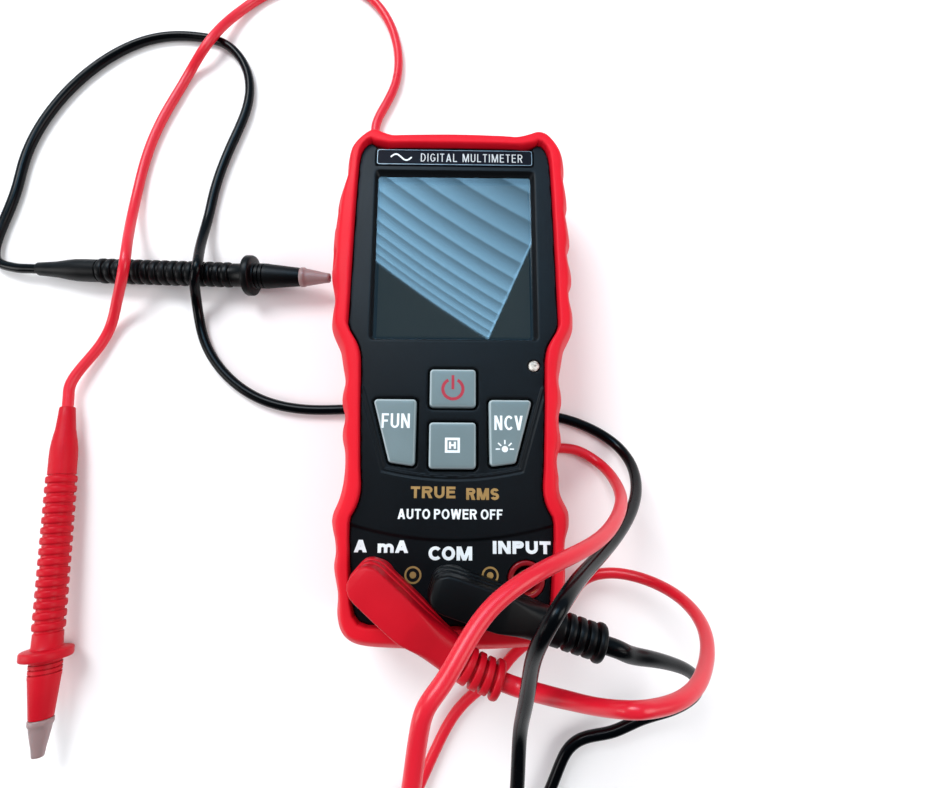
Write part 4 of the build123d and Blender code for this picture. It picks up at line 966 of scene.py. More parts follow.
def plate(points, z):
    count = len(points)
    verts = [(x, y, level) for level in (z, z + INK_THICK) for x, y in points]
    faces = [tuple(range(count))[::-1], tuple(range(count, 2 * count))]
    faces += [(i, (i + 1) % count, count + (i + 1) % count, count + i) for i in range(count)]
    return verts, faces


def ring_arc(cx, cy, inner, outer, start, end, z, steps=48):
    """Flat band between two radii, from one angle in degrees to another."""
    points = (arc_points(cx, cy, outer, outer, start, end, steps)
              + arc_points(cx, cy, inner, inner, start, end, steps))
    verts = [(x, y, level) for level in (z, z + INK_THICK) for x, y in points]
    row = steps + 1
    faces = []
    for i in range(steps):
        faces += [(i + 1, i, row + i, row + i + 1),
                  (2 * row + i, 2 * row + i + 1, 3 * row + i + 1, 3 * row + i),
                  (i, i + 1, 2 * row + i + 1, 2 * row + i),
                  (row + i + 1, row + i, 3 * row + i, 3 * row + i + 1)]
    faces += [(2 * row, 3 * row, row, 0), (steps, row + steps, 3 * row + steps, 2 * row + steps)]
    return verts, faces


def bar(x0, y0, x1, y1, width, z):
    along = Vector((x1 - x0, y1 - y0)).normalized()
    side = Vector((-along.y, along.x)) * width / 2
    return plate([(x0 + side.x, y0 + side.y), (x1 + side.x, y1 + side.y),
                  (x1 - side.x, y1 - side.y), (x0 - side.x, y0 - side.y)], z)


def key_printing():
    solid("power_symbol", merge(ring_arc(0, -8.85, 2.6, 3.55, -243, 63, KEY_TOP),
                                bar(0, -8.95, 0, -4.55, 0.85, KEY_TOP)),
          material=INK_RED, body="power_key")
    # square frame round an H
    strokes = [rect(-2.25, -28.2, -1.5, -23.7), rect(1.5, -28.2, 2.25, -23.7),
               rect(-2.25, -24.45, 2.25, -23.7), rect(-2.25, -28.2, 2.25, -27.45),
               rect(-1.05, -27.0, -0.4, -24.9), rect(0.4, -27.0, 1.05, -24.9),
               rect(-0.5, -26.25, 0.5, -25.65)]
    solid("hold_symbol", slab(strokes, KEY_TOP), material=INK_WHITE, body="hold_key")
    flat_text("function_legend", "FUN", (-21.4, -12.9), (-20.9, -16.5), KEY_TOP, INK_WHITE,
              body="function_key", pen=0.68, gap=0.6)
    flat_text("ncv_legend", "NCV", (12.6, 21.2), (-21.3, -16.9), KEY_TOP, INK_WHITE,
              body="ncv_key", pen=0.68, gap=0.6)
    # disc with five rays over its upper half
    cx, cy = 15.7, -27.0
    parts = [plate(circle(cx, cy, 0.95, 24), KEY_TOP)]
    for angle in (0, 42, 90, 138, 180):
        cos, sin = math.cos(math.radians(angle)), math.sin(math.radians(angle))
        parts.append(bar(cx + 1.45 * cos, cy + 1.45 * sin, cx + 2.75 * cos, cy + 2.75 * sin,
                         0.42, KEY_TOP))
    solid("light_symbol", merge(*parts), material=INK_WHITE, body="ncv_key")


def face_printing():
    flat_text("true_rms_legend_1", "TRUE", (-12.2, 1.0), (-41.5, -38.1), Z_FACE, INK_GOLD,
              pen=0.84, gap=0.55)
    flat_text("true_rms_legend_2", "RMS", (4.2, 13.9), (-41.9, -38.5), Z_FACE, INK_GOLD,
              pen=0.86, gap=0.45)
    flat_text("auto_off_legend", "AUTO POWER OFF", (-15.9, 14.9), (-47.5, -44.6), Z_FACE,
              INK_WHITE, pen=0.57, gap=0.38, space=1.15)
    flat_text("amp_legend", "A", (-28.4, -24.6), (-57.0, -53.5), Z_JACK, INK_WHITE, pen=1.05)
    flat_text("milliamp_legend", "mA", (-21.5, -12.6), (-57.1, -53.6), Z_JACK, INK_WHITE,
              pen=1.02, gap=0.35)
    flat_text("com_legend", "COM", (-6.7, 6.0), (-59.1, -55.2), Z_JACK, INK_WHITE, pen=1.02,
              gap=0.42)
    flat_text("input_legend", "INPUT", (12.0, 28.9), (-57.2, -53.6), Z_JACK, INK_WHITE, pen=1.08)
    # ring-and-dot marks between the jacks
    for name, cx in (("gold_mark_left", -11.1), ("gold_mark_right", 11.2)):
        solid(name, merge(ring_arc(cx, -63.2, 1.9, 2.45, 0, 359.999, Z_JACK, steps=72),
                          plate(circle(cx, -63.2, 0.95, 40), Z_JACK)), material=INK_GOLD)


def title():
    """Lacquered plate with a silvered edge line, lettering and a one-period wave."""
    outline = corners(TITLE_BOX)
    stations = [(0, 34.6, 0.7), (0, 35.45, 0.7), (0.12, 35.6, 0.7), (0.5, 35.6, 0.7),
                (0.62, Z_TITLE, 0.7), (1.1, Z_TITLE, 0.7)]
    solid("title_plate", rings(outline_rings(outline, stations), "capped"), "strip_black",
          sharp=30, replaces="title_strip")
    stations = [(0.16, 35.585, 0.7), (0.16, 35.63, 0.7), (0.40, 35.63, 0.7), (0.40, 35.585, 0.7)]
    solid("title_plate_edge", rings(outline_rings(outline, stations), "joined"),
          material=TITLE_EDGE, sharp=30)
    flat_text("title_text", "DIGITAL MULTIMETER", (-11.4, 22.8), (68.95, 71.95), Z_TITLE,
              INK_SILVER, pen=0.33, gap=0.62, space=1.9)
    steps = 40
    wave = [(-21.5 + 7.0 * i / steps, 70.5 + 1.1 * math.sin(2 * math.pi * i / steps))
            for i in range(steps + 1)]
    verts, faces = [], []
    for i, (x, y) in enumerate(wave):
        after, before = wave[min(i + 1, steps)], wave[max(i - 1, 0)]
        along = Vector((after[0] - before[0], after[1] - before[1])).normalized()
        side = Vector((-along.y, along.x)) * 0.26
        for z in (Z_TITLE, Z_TITLE + 0.04):
            verts += [(x + side.x, y + side.y, z), (x - side.x, y - side.y, z)]
    for a in range(0, 4 * steps, 4):
        b = a + 4
        faces += [(a, b, b + 1, a + 1), (a + 2, a + 3, b + 3, b + 2),
                  (a, a + 2, b + 2, b), (a + 1, b + 1, b + 3, a + 3)]
    end = 4 * steps
    faces += [(0, 1, 3, 2), (end, end + 2, end + 3, end + 1)]
    solid("wave_mark", (verts, faces), material=INK_WHITE)


key_printing()
face_printing()
title()


# ---------------------------------------------------------------- window, jacks, sensor
def display_window():
    low, chamfer, radius = 32.3, 0.12, 0.9
    stations = [(chamfer, low, radius), (0, low + chamfer, radius),
                (0, GLASS_TOP - chamfer, radius), (chamfer, GLASS_TOP, radius)]
    loops = outline_rings(corners((-26.6, 26.6, 6.6, 65.2)), stations)
    solid("display_window", rings(loops, "capped"), "window_clear", sharp=30,
          replaces="lcd_window")


def socket(name, place):
    """Jack: raised ring, bore and a narrower hole at the bottom. Columns are radius, z."""
    profile = [
        (0, 14.9), (4.9, 14.9), (4.9, 33.2), (5.3, 33.3), (5.3, 35.9), (5.2, 36.1), (5.0, 36.2),
        (4.3, 36.2), (4.1, 36.1), (4.0, 35.9), (3.8, 35.5), (3.8, 16.4), (2.65, 16.4),
        (2.65, 15.0), (0, 15.0)]
    solid("socket_" + name, upright(profile, place, 96),
          "ring_black" if name == "com" else "ring_red", sharp=50,
          replaces="jack_socket_" + name)


def sensor_lens():
    """Domed button right of the power key; its clear lens is drawn opaque, pale silver mottled
    with dark patches, as painted reflections. Columns are radius, z.
    """
    profile = [(0, 33.2), (1.66, 33.2), (1.66, 35.4), (1.55, 35.62), (1.2, 35.74), (0.6, 35.8),
               (0, 35.82)]
    # Painted reflections: pale silver with dark mottling stands in for the glints on the clear
    # lens.
    lens_glint_paint = plastic("lens_painted_reflections", color=(0.78, 0.76, 0.70), tint=(0.10, 0.09, 0.08),
                       rough=0.22, spec=0.6, grain=1600, bump=0.8, bump_mm=0.3, large=1100)
    solid("sensor_lens", upright(profile, SENSOR, 48), "window_clear", material=lens_glint_paint,
          sharp=60, replaces="light_pipe")


display_window()
for jack, place in JACKS.items():
    socket(jack, place)
sensor_lens()

# ---------------------------------------------------------------- plugs
# shares of the plug body's height at which it has a ring of points
PLUG_LEVELS = [
    0.0, 0.012, 0.03, 0.055, 0.09, 0.14, 0.20, 0.27, 0.335, 0.345, 0.355, 0.40, 0.46, 0.52,
    0.585, 0.597, 0.607, 0.66, 0.72, 0.78, 0.84, 0.885, 0.92, 0.945, 0.965, 0.98, 0.99, 0.996,
    1.0]
# tiered side: height share, and how far the side stands in there
TIER_LEVELS = [0, 0.02, 0.05, 0.10, 0.335, 0.347, 0.355, 0.585, 0.598, 0.607, 0.93, 0.965,
               0.985, 0.995, 1.0]
TIER_INSETS = [1.0, 0.55, 0.2, 0.0, 0.0, 0.12, 0.40, 0.42, 0.55, 0.80, 0.86, 0.95, 1.12, 1.35,
               1.7]
# half widths, tops and bottoms of the body at the stations set in plug()
HALF_WIDTHS = [1.9, 2.9, 3.8, 4.7, 5.5, 5.8, 5.9, 5.9, 5.8, 5.5, 5.1, 4.85, 4.7]
PLUG_TOPS = [51.7, 51.9, 52.0, 52.0, 51.8, 51.1, 50.0, 49.2, 48.8]
PLUG_BOTTOMS = [37.0, 36.9, 36.9, 36.9, 37.6, 38.2, 38.8, 39.3, 39.6]


def relief_profile():
    """Strain relief: three rings on a core, then a thick collar. Radius, station."""
    profile = [(0, 30.0), (4.6, 30.0), (4.6, 31.15), (4.5, 31.3), (3.5, 31.33)]
    for i in range(3):
        start, radius = 32.2 + 2.78 * i, 4.88 - 0.05 * i
        profile += [(3.5, start), (radius - 0.14, start + 0.03), (radius, start + 0.2),
                    (radius, start + 1.65), (radius - 0.14, start + 1.82), (3.5, start + 1.85)]
    collar = [(3.5, 0), (4.9, 0.04), (5.15, 0.35), (5.2, 0.9), (5.1, 1.5), (4.75, 1.95),
              (4.1, 2.2), (2.5, 2.25), (2.45, 2.7), (0, 2.7)]
    return profile + [(radius, 40.5 + station) for radius, station in collar]


def plug(colour, jack, plan_points):
    """Plug bent along a plan curve. Returns the point where its lead starts.

    Stations are distances along the curve, 0 over the jack and negative behind it.
    """
    points = np.asarray(plan_points, float)
    curve = catmull_rom(np.vstack([2 * points[0] - points[1], points,
                                   2 * points[-1] - points[-2]]), 40)
    curve = np.vstack([curve, points[-1]])
    lengths = arc_lengths(curve)
    headings = np.gradient(curve, axis=0)
    headings /= np.linalg.norm(headings, axis=1)[:, None]
    to_jack = lengths[int(np.argmin(radial(curve, jack)))]
    rear = -to_jack

    def at(station):
        x, y, dx, dy = (np.interp(station + to_jack, lengths, values)
                        for values in (*curve.T, *headings.T))
        size = np.hypot(dx, dy)
        return x, y, dx / size, dy / size

    stations = np.r_[rear + np.array([0, 0.04, 0.15, 0.35, 0.65, 1.05, 1.6, 2.3, 3.2, 4.3]),
                     np.arange(rear + 5.3, 30.6, 0.7), 30.8]
    width_stations = np.r_[rear + np.array([0, 0.15, 0.65, 1.6, 3.2, 4.5]),
                           0, 8, 14, 18, 22, 26, 31]
    height_stations = np.r_[rear, rear + 2, 0, 12, 15, 18, 22, 26, 31]

    def ring(level):
        left, right = [], []
        for station in stations:
            x, y, dx, dy = at(station)
            half = np.interp(station, width_stations, HALF_WIDTHS)
            top = np.interp(station, height_stations, PLUG_TOPS)
            bottom = np.interp(station, height_stations, PLUG_BOTTOMS)
            # the tiered section turns into a rounded one towards the lead
            round_share = float(smoothstep(station, 13.0, 29.0))
            tier = np.interp(level, TIER_LEVELS, TIER_INSETS)
            tier *= 1 if station > rear + 2 else 0.85
            oval = half * (1 - max(1e-4, 1 - abs(2 * level - 1) ** 2.6) ** (1 / 2.6))
            inset = min((1 - round_share) * tier + round_share * oval, half * 0.94)
            # the rear end steps in along the plug as well
            shift = min(tier, 1.2) * (1 - float(smoothstep(station, rear, rear + 4.5)))
            x, y = x + dx * shift, y + dy * shift
            z = bottom + level * (top - bottom)
            left.append((x - dy * (half - inset), y + dx * (half - inset), z))
            right.append((x + dy * (half - inset), y - dx * (half - inset), z))
        return left + right[::-1]

    verts, faces = rings([ring(level) for level in PLUG_LEVELS])
    size = 2 * len(stations)
    for pair in zip(*strip_caps(size, len(verts) - size)):
        faces += pair

    def relief_point(radius, station, cos, sin):
        x, y, dx, dy = at(station)
        return x - dy * radius * cos, y + dx * radius * cos, PLUG_AXIS_Z + radius * sin

    base = [(0, 36.35), (5.4, 36.35), (5.9, 36.6), (6.0, 37.0), (6.0, 38.2), (5.7, 38.8),
            (0, 38.9)]
    sleeve = [(2.8, 37.5), (3.6, 37.5), (3.6, 23.8), (3.5, 23.6), (2.9, 23.6), (2.8, 23.8),
              (2.8, 37.5)]
    body = colour + "_plug"
    solid(body + "_body", merge((verts, faces), lathe(relief_profile(), relief_point, 64),
                                upright(base, jack, 72), upright(sleeve, jack, 64)),
          "lead_" + colour, material=MATERIALS["plug_" + colour], body=body, sharp=42,
          replaces=body)
    return (*at(43.0)[:2], PLUG_AXIS_Z)


RED_PLAN = [(-26.28, -60.23), JACKS["a"], (-15.56, -69.55), (-9.81, -74.37), (-0.2, -81.4),
            (4.6, -84.6), (9.0, -86.7), (13.6, -88.4), (18.34, -89.99)]
BLACK_HEADING = math.radians(-17.9)
BLACK_PLAN = [(JACKS["com"][0] + reach * math.cos(BLACK_HEADING),
               JACKS["com"][1] + reach * math.sin(BLACK_HEADING))
              for reach in (-6.2, 0, 12, 24, 36, 52)]
red_end = plug("red", JACKS["a"], RED_PLAN)
black_end = plug("black", JACKS["com"], BLACK_PLAN)

# ---------------------------------------------------------------- cables
# x, y, z along each lead's centre line, from the plug to the probe
RED_PATH = [
    (14.501, -88.701, 44.2), (17.014, -89.541, 44.2), (21.92, -89.749, 47.6),
    (24.793, -89.182, 51.6), (27.667, -88.08, 57), (30.726, -86.434, 64.2),
    (33.615, -84.636, 71), (38.495, -83.067, 76.078), (42.251, -83.26, 74.759),
    (47.466, -83.416, 71.812), (55.598, -83.047, 64.47), (62.151, -81.647, 55.761),
    (67.53, -79.052, 46.539), (70.826, -75.539, 36.685), (70.71, -71.815, 26.401),
    (66.515, -68.631, 16.841), (59.295, -66.666, 11.174), (50.856, -66.771, 8.161),
    (45.037, -69.603, 5.729), (42.112, -73.876, 3.936), (37.086, -81.162, 2.505),
    (28.83, -88.369, 2.13), (20.353, -95.266, 1.964), (15.427, -100.856, 1.93),
    (10.166, -104.673, 1.93), (1.985, -112.005, 1.93), (-3.76, -121.336, 2.028),
    (-8.747, -131.098, 2.878), (-13.803, -140.42, 5.677), (-18.468, -148.098, 11.904),
    (-21.856, -153.326, 20.91), (-23.665, -156.004, 31.379), (-23.925, -155.637, 42.319),
    (-22.868, -152.308, 52.718), (-21.008, -146.938, 62.118), (-18.691, -140.083, 70.387),
    (-16.145, -131.91, 77.271), (-13.588, -122.589, 82.493), (-11.204, -112.453, 86.008),
    (-9.056, -101.899, 88.232), (-7.136, -91.179, 89.782), (-5.664, -80.417, 91.467),
    (-4.528, -76.716, 92.062), (-2.102, -73.658, 91.262), (0.457, -70.133, 90.141),
    (6.807, -61.907, 86.668), (15.389, -56.237, 83.022), (23.448, -53.565, 76.878),
    (31.12, -51.611, 69.253), (37.695, -49.444, 60.714), (43.224, -46.666, 51.624),
    (47.8, -43.645, 42.093), (51.316, -40.837, 32.061), (53.752, -37.962, 21.731),
    (54.985, -34.355, 11.429), (53.036, -29.623, 3.703), (49.859, -26.968, 2.061),
    (45.848, -24.987, 1.93), (40.441, -24.159, 1.93), (32.469, -24.594, 1.93),
    (21.692, -23.622, 2.878), (14.802, -21.136, 4.415), (5.699, -15.113, 5.421),
    (-2.297, -7.569, 5.399), (-11.229, -1.311, 4.072), (-19.36, 5.652, 1.932),
    (-22.616, 10.058, 1.93), (-26.733, 20.182, 1.937), (-27.807, 31.116, 1.93),
    (-28.014, 42.114, 1.93), (-28.034, 53.115, 1.93), (-28.083, 64.116, 1.93),
    (-28.389, 75.112, 1.93), (-29.441, 86.058, 1.93), (-31.527, 96.858, 1.93),
    (-32.266, 107.768, 1.93), (-29.522, 115.264, 1.93), (-25.355, 125.438, 1.93),
    (-23.864, 136.281, 1.93), (-25.092, 147.199, 1.93), (-28.565, 157.61, 1.93),
    (-34.424, 166.889, 1.93), (-42.689, 174.061, 1.93), (-52.999, 177.715, 1.93),
    (-63.953, 177.655, 1.93), (-74.458, 174.484, 1.93), (-83.995, 169.049, 1.93),
    (-91.799, 161.384, 2.606), (-97.589, 152.246, 4.498), (-102.097, 142.381, 6.212),
    (-105.759, 137.199, 5.098), (-109.958, 132.117, 2.774), (-113.151, 126.01, 1.93),
    (-115.846, 119.549, 1.93), (-119.865, 109.311, 1.93), (-122.968, 98.762, 1.93),
    (-124.985, 87.952, 1.93), (-125.853, 77.013, 2.319), (-125.303, 66.252, 4.415),
    (-123.149, 56.277, 8.465), (-120.152, 46.859, 13.283), (-119.239, 40.68, 14.717),
    (-120.056, 36.962, 13.641), (-121.559, 33.869, 11.621), (-124.959, 28.802, 7.27),
    (-129.07, 19.784, 2.88), (-132.711, 11.591, 2.677), (-138.165, 2.092, 3.679),
    (-139.958, -4.049, 4.249), (-139.697, -7.036, 4.358), (-139.479, -9.525, 4.449),
    (-139.261, -12.013, 4.541), (-139.044, -14.502, 4.632), (-138.826, -16.991, 4.723),
    (-138.564, -19.978, 4.832)]
BLACK_PATH = [
    (41.68, -79.462, 44.2), (44.202, -80.277, 44.2), (47.926, -82.19, 41.9),
    (54.171, -84.382, 37.8), (63.57, -87.784, 31.287), (71.541, -91.99, 25.018),
    (76.656, -98.377, 17.82), (76.618, -102.378, 14.133), (74.16, -105.724, 11.431),
    (70.311, -108.283, 9.561), (62.152, -111.515, 7.595), (52.428, -116.242, 5.562),
    (42.102, -119.517, 3.772), (38.721, -122.389, 3.331), (36.383, -126.224, 3.128),
    (31.719, -135.625, 3.365), (25.053, -144.119, 5.146), (17.63, -150.028, 10.489),
    (12.29, -152.507, 19.629), (10.588, -150.927, 26.661), (10.671, -146.904, 32.346),
    (12.372, -138.392, 39.048), (14.547, -128.622, 43.577), (16.21, -118.119, 46.357),
    (16.928, -107.313, 48.294), (17.126, -97.115, 52.163), (17.412, -89.865, 58.286),
    (17.569, -81.808, 65.772), (17.514, -74.289, 73.8), (19.377, -66.285, 80.977),
    (21.372, -63.021, 81.354), (23.614, -60.991, 78.856), (25.593, -59.84, 75.586),
    (30.399, -57.918, 67.031), (36.092, -55.858, 57.844), (42.097, -53.244, 49.006),
    (48.162, -49.831, 40.485), (53.861, -45.648, 32.057), (58.694, -40.649, 23.539),
    (61.919, -34.706, 14.885), (62.225, -27.571, 6.624), (59.612, -22.896, 3.092),
    (55.1, -19.196, 1.935), (49.339, -16.205, 1.93), (38.89, -12.878, 1.93),
    (27.918, -12.129, 1.93), (16.915, -12.04, 1.93), (5.915, -11.809, 1.93),
    (-5.07, -11.173, 1.93), (-16.063, -10.699, 1.93), (-27.064, -10.464, 1.93),
    (-38.067, -10.476, 1.93), (-49.065, -10.809, 1.93), (-60.026, -9.971, 1.93),
    (-70.611, -7.065, 1.93), (-80.119, -1.584, 1.93), (-88.021, 6.035, 1.93),
    (-93.748, 15.39, 1.93), (-96.457, 25.843, 3.368), (-96.095, 31.632, 7.447),
    (-94.229, 36.16, 12.816), (-93.34, 39.539, 14.047), (-93.949, 43.226, 12.518),
    (-94.917, 46.498, 10.44), (-96.73, 55.959, 5.182), (-96.804, 66.495, 2.153),
    (-95.968, 74.924, 1.93), (-93.993, 85.742, 1.93), (-91.084, 96.347, 1.963),
    (-87.797, 106.847, 1.937), (-85.528, 117.599, 1.93), (-86.162, 128.527, 1.93),
    (-90.59, 138.535, 1.93), (-98.642, 145.86, 1.93), (-107.767, 148.366, 1.93),
    (-118.737, 148.926, 1.93), (-129.516, 146.882, 1.93), (-139.4, 142.104, 1.93),
    (-148.141, 135.443, 1.93), (-155.739, 127.497, 1.93), (-162.164, 118.574, 1.93),
    (-167.354, 108.88, 1.93), (-171.158, 98.566, 1.93), (-173.22, 87.773, 1.93),
    (-174.08, 76.804, 1.93), (-176.009, 65.978, 1.93), (-177.993, 55.164, 2.1),
    (-176.403, 46.574, 2.784), (-173.187, 44.315, 3.32), (-169.4, 43.147, 3.824),
    (-164.985, 42.363, 4.249), (-161.989, 42.253, 4.358), (-159.493, 42.161, 4.449),
    (-156.996, 42.07, 4.541), (-154.499, 41.978, 4.632), (-152.003, 41.887, 4.723),
    (-149.007, 41.777, 4.832)]


def natural_spline(points):
    """Natural cubic spline through points, in steps of about 0.9."""
    points = np.asarray(points, float)
    spans = np.diff(arc_lengths(points))
    count = len(points)
    matrix = np.zeros((count, count))
    right = np.zeros((count, 3))
    matrix[0, 0] = matrix[-1, -1] = 1
    for i in range(1, count - 1):
        before, after = spans[i - 1], spans[i]
        matrix[i, i - 1:i + 2] = before, 2 * (before + after), after
        right[i] = 6 * ((points[i + 1] - points[i]) / after - (points[i] - points[i - 1]) / before)
    bends = np.linalg.solve(matrix, right)
    curve = []
    for i, span in enumerate(spans):
        slope = ((points[i + 1] - points[i]) / span
                 - span * (2 * bends[i] + bends[i + 1]) / 6)
        steps = max(3, int(math.ceil(span / 0.9)))
        for step in range(steps):
            u = span * step / steps
            curve.append(points[i] + slope * u + bends[i] * u * u / 2
                         + (bends[i + 1] - bends[i]) / (6 * span) * u ** 3)
    curve.append(points[-1])
    return np.array(curve)


def tube(centres, radii, segments=28):
    headings = np.gradient(centres, axis=0)
    headings /= np.linalg.norm(headings, axis=1)[:, None]
    side = np.cross(headings[0], [0, 0, 1.0])
    side /= np.linalg.norm(side)
    angles = [2 * math.pi * i / segments for i in range(segments)]
    loops = []
    for centre, heading, radius in zip(centres, headings, radii):
        side = side - heading * (side @ heading)
        side /= np.linalg.norm(side)
        other = np.cross(heading, side)
        loops.append([tuple(centre + radius * (math.cos(a) * side + math.sin(a) * other))
                      for a in angles])
    return rings(loops, "capped")


def cable(colour, path, tail_length, end):
    """Lead in two pieces: the cable, and a tail that blends from it to the plug."""
    slot = "lead_" + colour
    centres = np.vstack([end, natural_spline(path)])
    lengths = arc_lengths(centres)
    cut = int(np.searchsorted(lengths, tail_length))
    radii = 1.8 + 0.62 * (1 - smoothstep(lengths, 2.0, 40.0))    # thicker near the plug
    solid(colour + "_lead_cable", tube(centres[cut:], radii[cut:]), slot, sharp=60,
          replaces=colour + "_cable")
    mesh = mesh_from(colour + "_lead_tail", tube(centres[:cut + 1], radii[:cut + 1]))
    shade(mesh, 60)
    tail = new_object(colour + "_lead_tail", mesh, MATERIALS[slot])
    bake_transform(tail)


cable("red", RED_PATH, 62.0, red_end)
cable("black", BLACK_PATH, 50.0, black_end)


# ---------------------------------------------------------------- probes
def grip_profile():
    """Tapered rear, ribbed grip, flange, three grooves and nose. Radius, distance."""
    profile = [(0, -4.0), (2.3, -4.0), (2.5, -3.6), (2.75, 0.0), (3.1, 4.0), (3.8, 8.0),
               (4.15, 11.0), (4.25, 14.0), (4.25, 20.0)]
    rib = [(3.95, 0.02), (3.95, 0.55), (4.45, 0.72), (4.63, 1.0), (4.68, 1.5), (4.68, 2.2),
           (4.60, 2.7), (4.4, 2.95), (3.95, 3.1)]
    start = 20.0
    while start < 71.0:
        profile += [(radius, start + step) for radius, step in rib]
        start += 3.4
    profile += [(3.95, start + 0.3), (4.3, start + 0.6), (4.4, 75.6), (4.8, 76.2), (6.9, 76.5),
                (7.3, 76.7), (7.5, 77.1), (7.5, 78.9), (7.3, 79.3), (6.9, 79.5), (4.9, 79.7)]
    for i in range(3):
        start = 80.3 + 1.5 * i
        profile += [(4.65, start), (4.1, start + 0.06), (4.1, start + 0.42), (4.65, start + 0.5)]
    return profile + [(4.6, 84.9), (4.5, 85.4), (3.45, 96.6), (3.3, 97.0), (0, 97.0)]


GUARD_PROFILE = [
    (1.08, 97.1), (3.5, 97.1), (3.65, 97.3), (3.65, 98.4), (3.45, 98.9), (3.2, 99.2),
    (3.1, 100.2), (2.6, 102.8), (2.05, 105.5), (1.85, 107.0), (1.75, 107.8), (1.55, 108.0),
    (1.2, 108.0), (1.08, 107.8), (1.08, 97.1)]


def probe(colour, rear, direction, guard_body):
    solid(colour + "_probe_grip", turned(grip_profile(), rear, direction, 96),
          "lead_" + colour, material=MATERIALS["plug_" + colour], sharp=40,
          replaces=colour + "_probe_handle")
    solid(colour + "_guard_sleeve", turned(GUARD_PROFILE, rear, direction, 64), "guard_clear",
          body=guard_body, sharp=45, replaces=colour + "_tip_guard")


probe("black", (-154.0, 41.96, 4.65), (0.99867, -0.03662, 0.03648), "meter")
probe("red", (-139.0, -15.0, 4.65), (0.0871, -0.99553, 0.03648), "red_guard")


# ---------------------------------------------------------------- CAD pieces kept as they are
def dress_cad_nodes():
    slots = {part["node"]: part["material_slot"] for part in frame["record"]["subparts"]}
    for name, piece in frame["nodes"].items():
        if piece.hide_render:
            continue
        material = MATERIALS.get(slots.get(name, ""), MATERIALS["shell_black"])
        for slot in piece.material_slots:
            slot.material = material
        if not piece.material_slots:
            piece.data.materials.append(material)
        if name in ("rear_shell", "battery_cover", "tilt_stand"):
            bevel = piece.modifiers.new("edge", "BEVEL")
            bevel.width = 0.25 * MM
            bevel.segments = 2
            bevel.limit_method = "ANGLE"
            bevel.angle_limit = math.radians(50)


dress_cad_nodes()


# ---------------------------------------------------------------- stage
def floor():
    """Pale floor, 6 m square, see-through from below."""
    material, tree, principled = new_material("floor_pale")
    setup(principled, in_Base_Color=(0.90, 0.90, 0.905, 1), in_Roughness=0.75)
    back = node(tree, "ShaderNodeNewGeometry").outputs["Backfacing"]
    clear = node(tree, "ShaderNodeBsdfTransparent").outputs[0]
    setup(tree.nodes["Material Output"],
          in_Surface=mix_shader(tree, back, principled.outputs[0], clear))
    mesh = bpy.data.meshes.new("floor")
    half = 3.0
    mesh.from_pydata([(-half, -half, 0), (half, -half, 0), (half, half, 0), (-half, half, 0)],
                     [], [(0, 1, 2, 3)])
    made = new_object("floor", mesh, material)
    made.location = (0, 0, -0.0001)
    made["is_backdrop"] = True


def card_material():
    """Blue glow in slanting bands, cut off by a low border and a right border.

    U and V run 0 to 1 across the display opening as reflected in the window.
    """
    material = bpy.data.materials.new("light_card")
    material.use_nodes = True
    tree = material.node_tree
    tree.nodes.clear()
    output = node(tree, "ShaderNodeOutputMaterial")
    coords = separate(tree, node(tree, "ShaderNodeUVMap", uv_map="uv").outputs["UV"])
    u, v = coords["X"], coords["Y"]

    def op(operation, *values):
        return calc(tree, operation, *values)

    # distance above the low border, which sags a little
    sag = op("MULTIPLY", op("MULTIPLY", u, op("SUBTRACT", 1.0, u)), 0.10)
    above = op("ADD", op("SUBTRACT", op("ADD", v, op("MULTIPLY", u, 0.613)), 0.466), sag)
    # bands that widen upward, each fading from a softened lower edge
    spread = op("MAXIMUM", op("ADD", op("MULTIPLY", above, 3.0), 1.0), 0.01)
    band = op("FRACT", op("MULTIPLY", op("LOGARITHM", spread, math.e), 7.07))
    rise = map_range(tree, band, (0.0, 0.12), smooth=True)
    fade = op("SUBTRACT", 1.0, op("MULTIPLY", op("POWER", band, 1.2), 0.64))
    glow = op("MULTIPLY", fade, op("ADD", 0.38, op("MULTIPLY", rise, 0.62)))
    # dimmer to the upper right
    corner = op("MAXIMUM", op("SUBTRACT", op("ADD", u, v), 0.9), 0.0)
    glow = op("MULTIPLY", glow, op("SUBTRACT", 1.0, op("MULTIPLY", corner, 0.36)))
    # cut off at the two borders, with a thin bright line along the right one
    over_low = map_range(tree, above, (-0.012, 0.012), smooth=True)
    from_right = op("SUBTRACT", op("ADD", 0.713, op("MULTIPLY", v, 0.49)), u)
    mask = op("MULTIPLY", over_low, map_range(tree, from_right, (-0.006, 0.008), smooth=True))
    near = op("LESS_THAN", op("ABSOLUTE", op("SUBTRACT", from_right, 0.004)), 0.007)
    line = op("MULTIPLY", near, over_low)
    total = op("ADD", op("MULTIPLY", mask, glow), op("MULTIPLY", line, 0.5))
    base_glow, power = 0.07, 12.6
    emission = node(tree, "ShaderNodeEmission", in_Color=(0.33, 0.68, 1.0, 1),
                    in_Strength=op("MULTIPLY", op("ADD", total, base_glow), power))
    setup(output, in_Surface=emission.outputs[0])
    return material


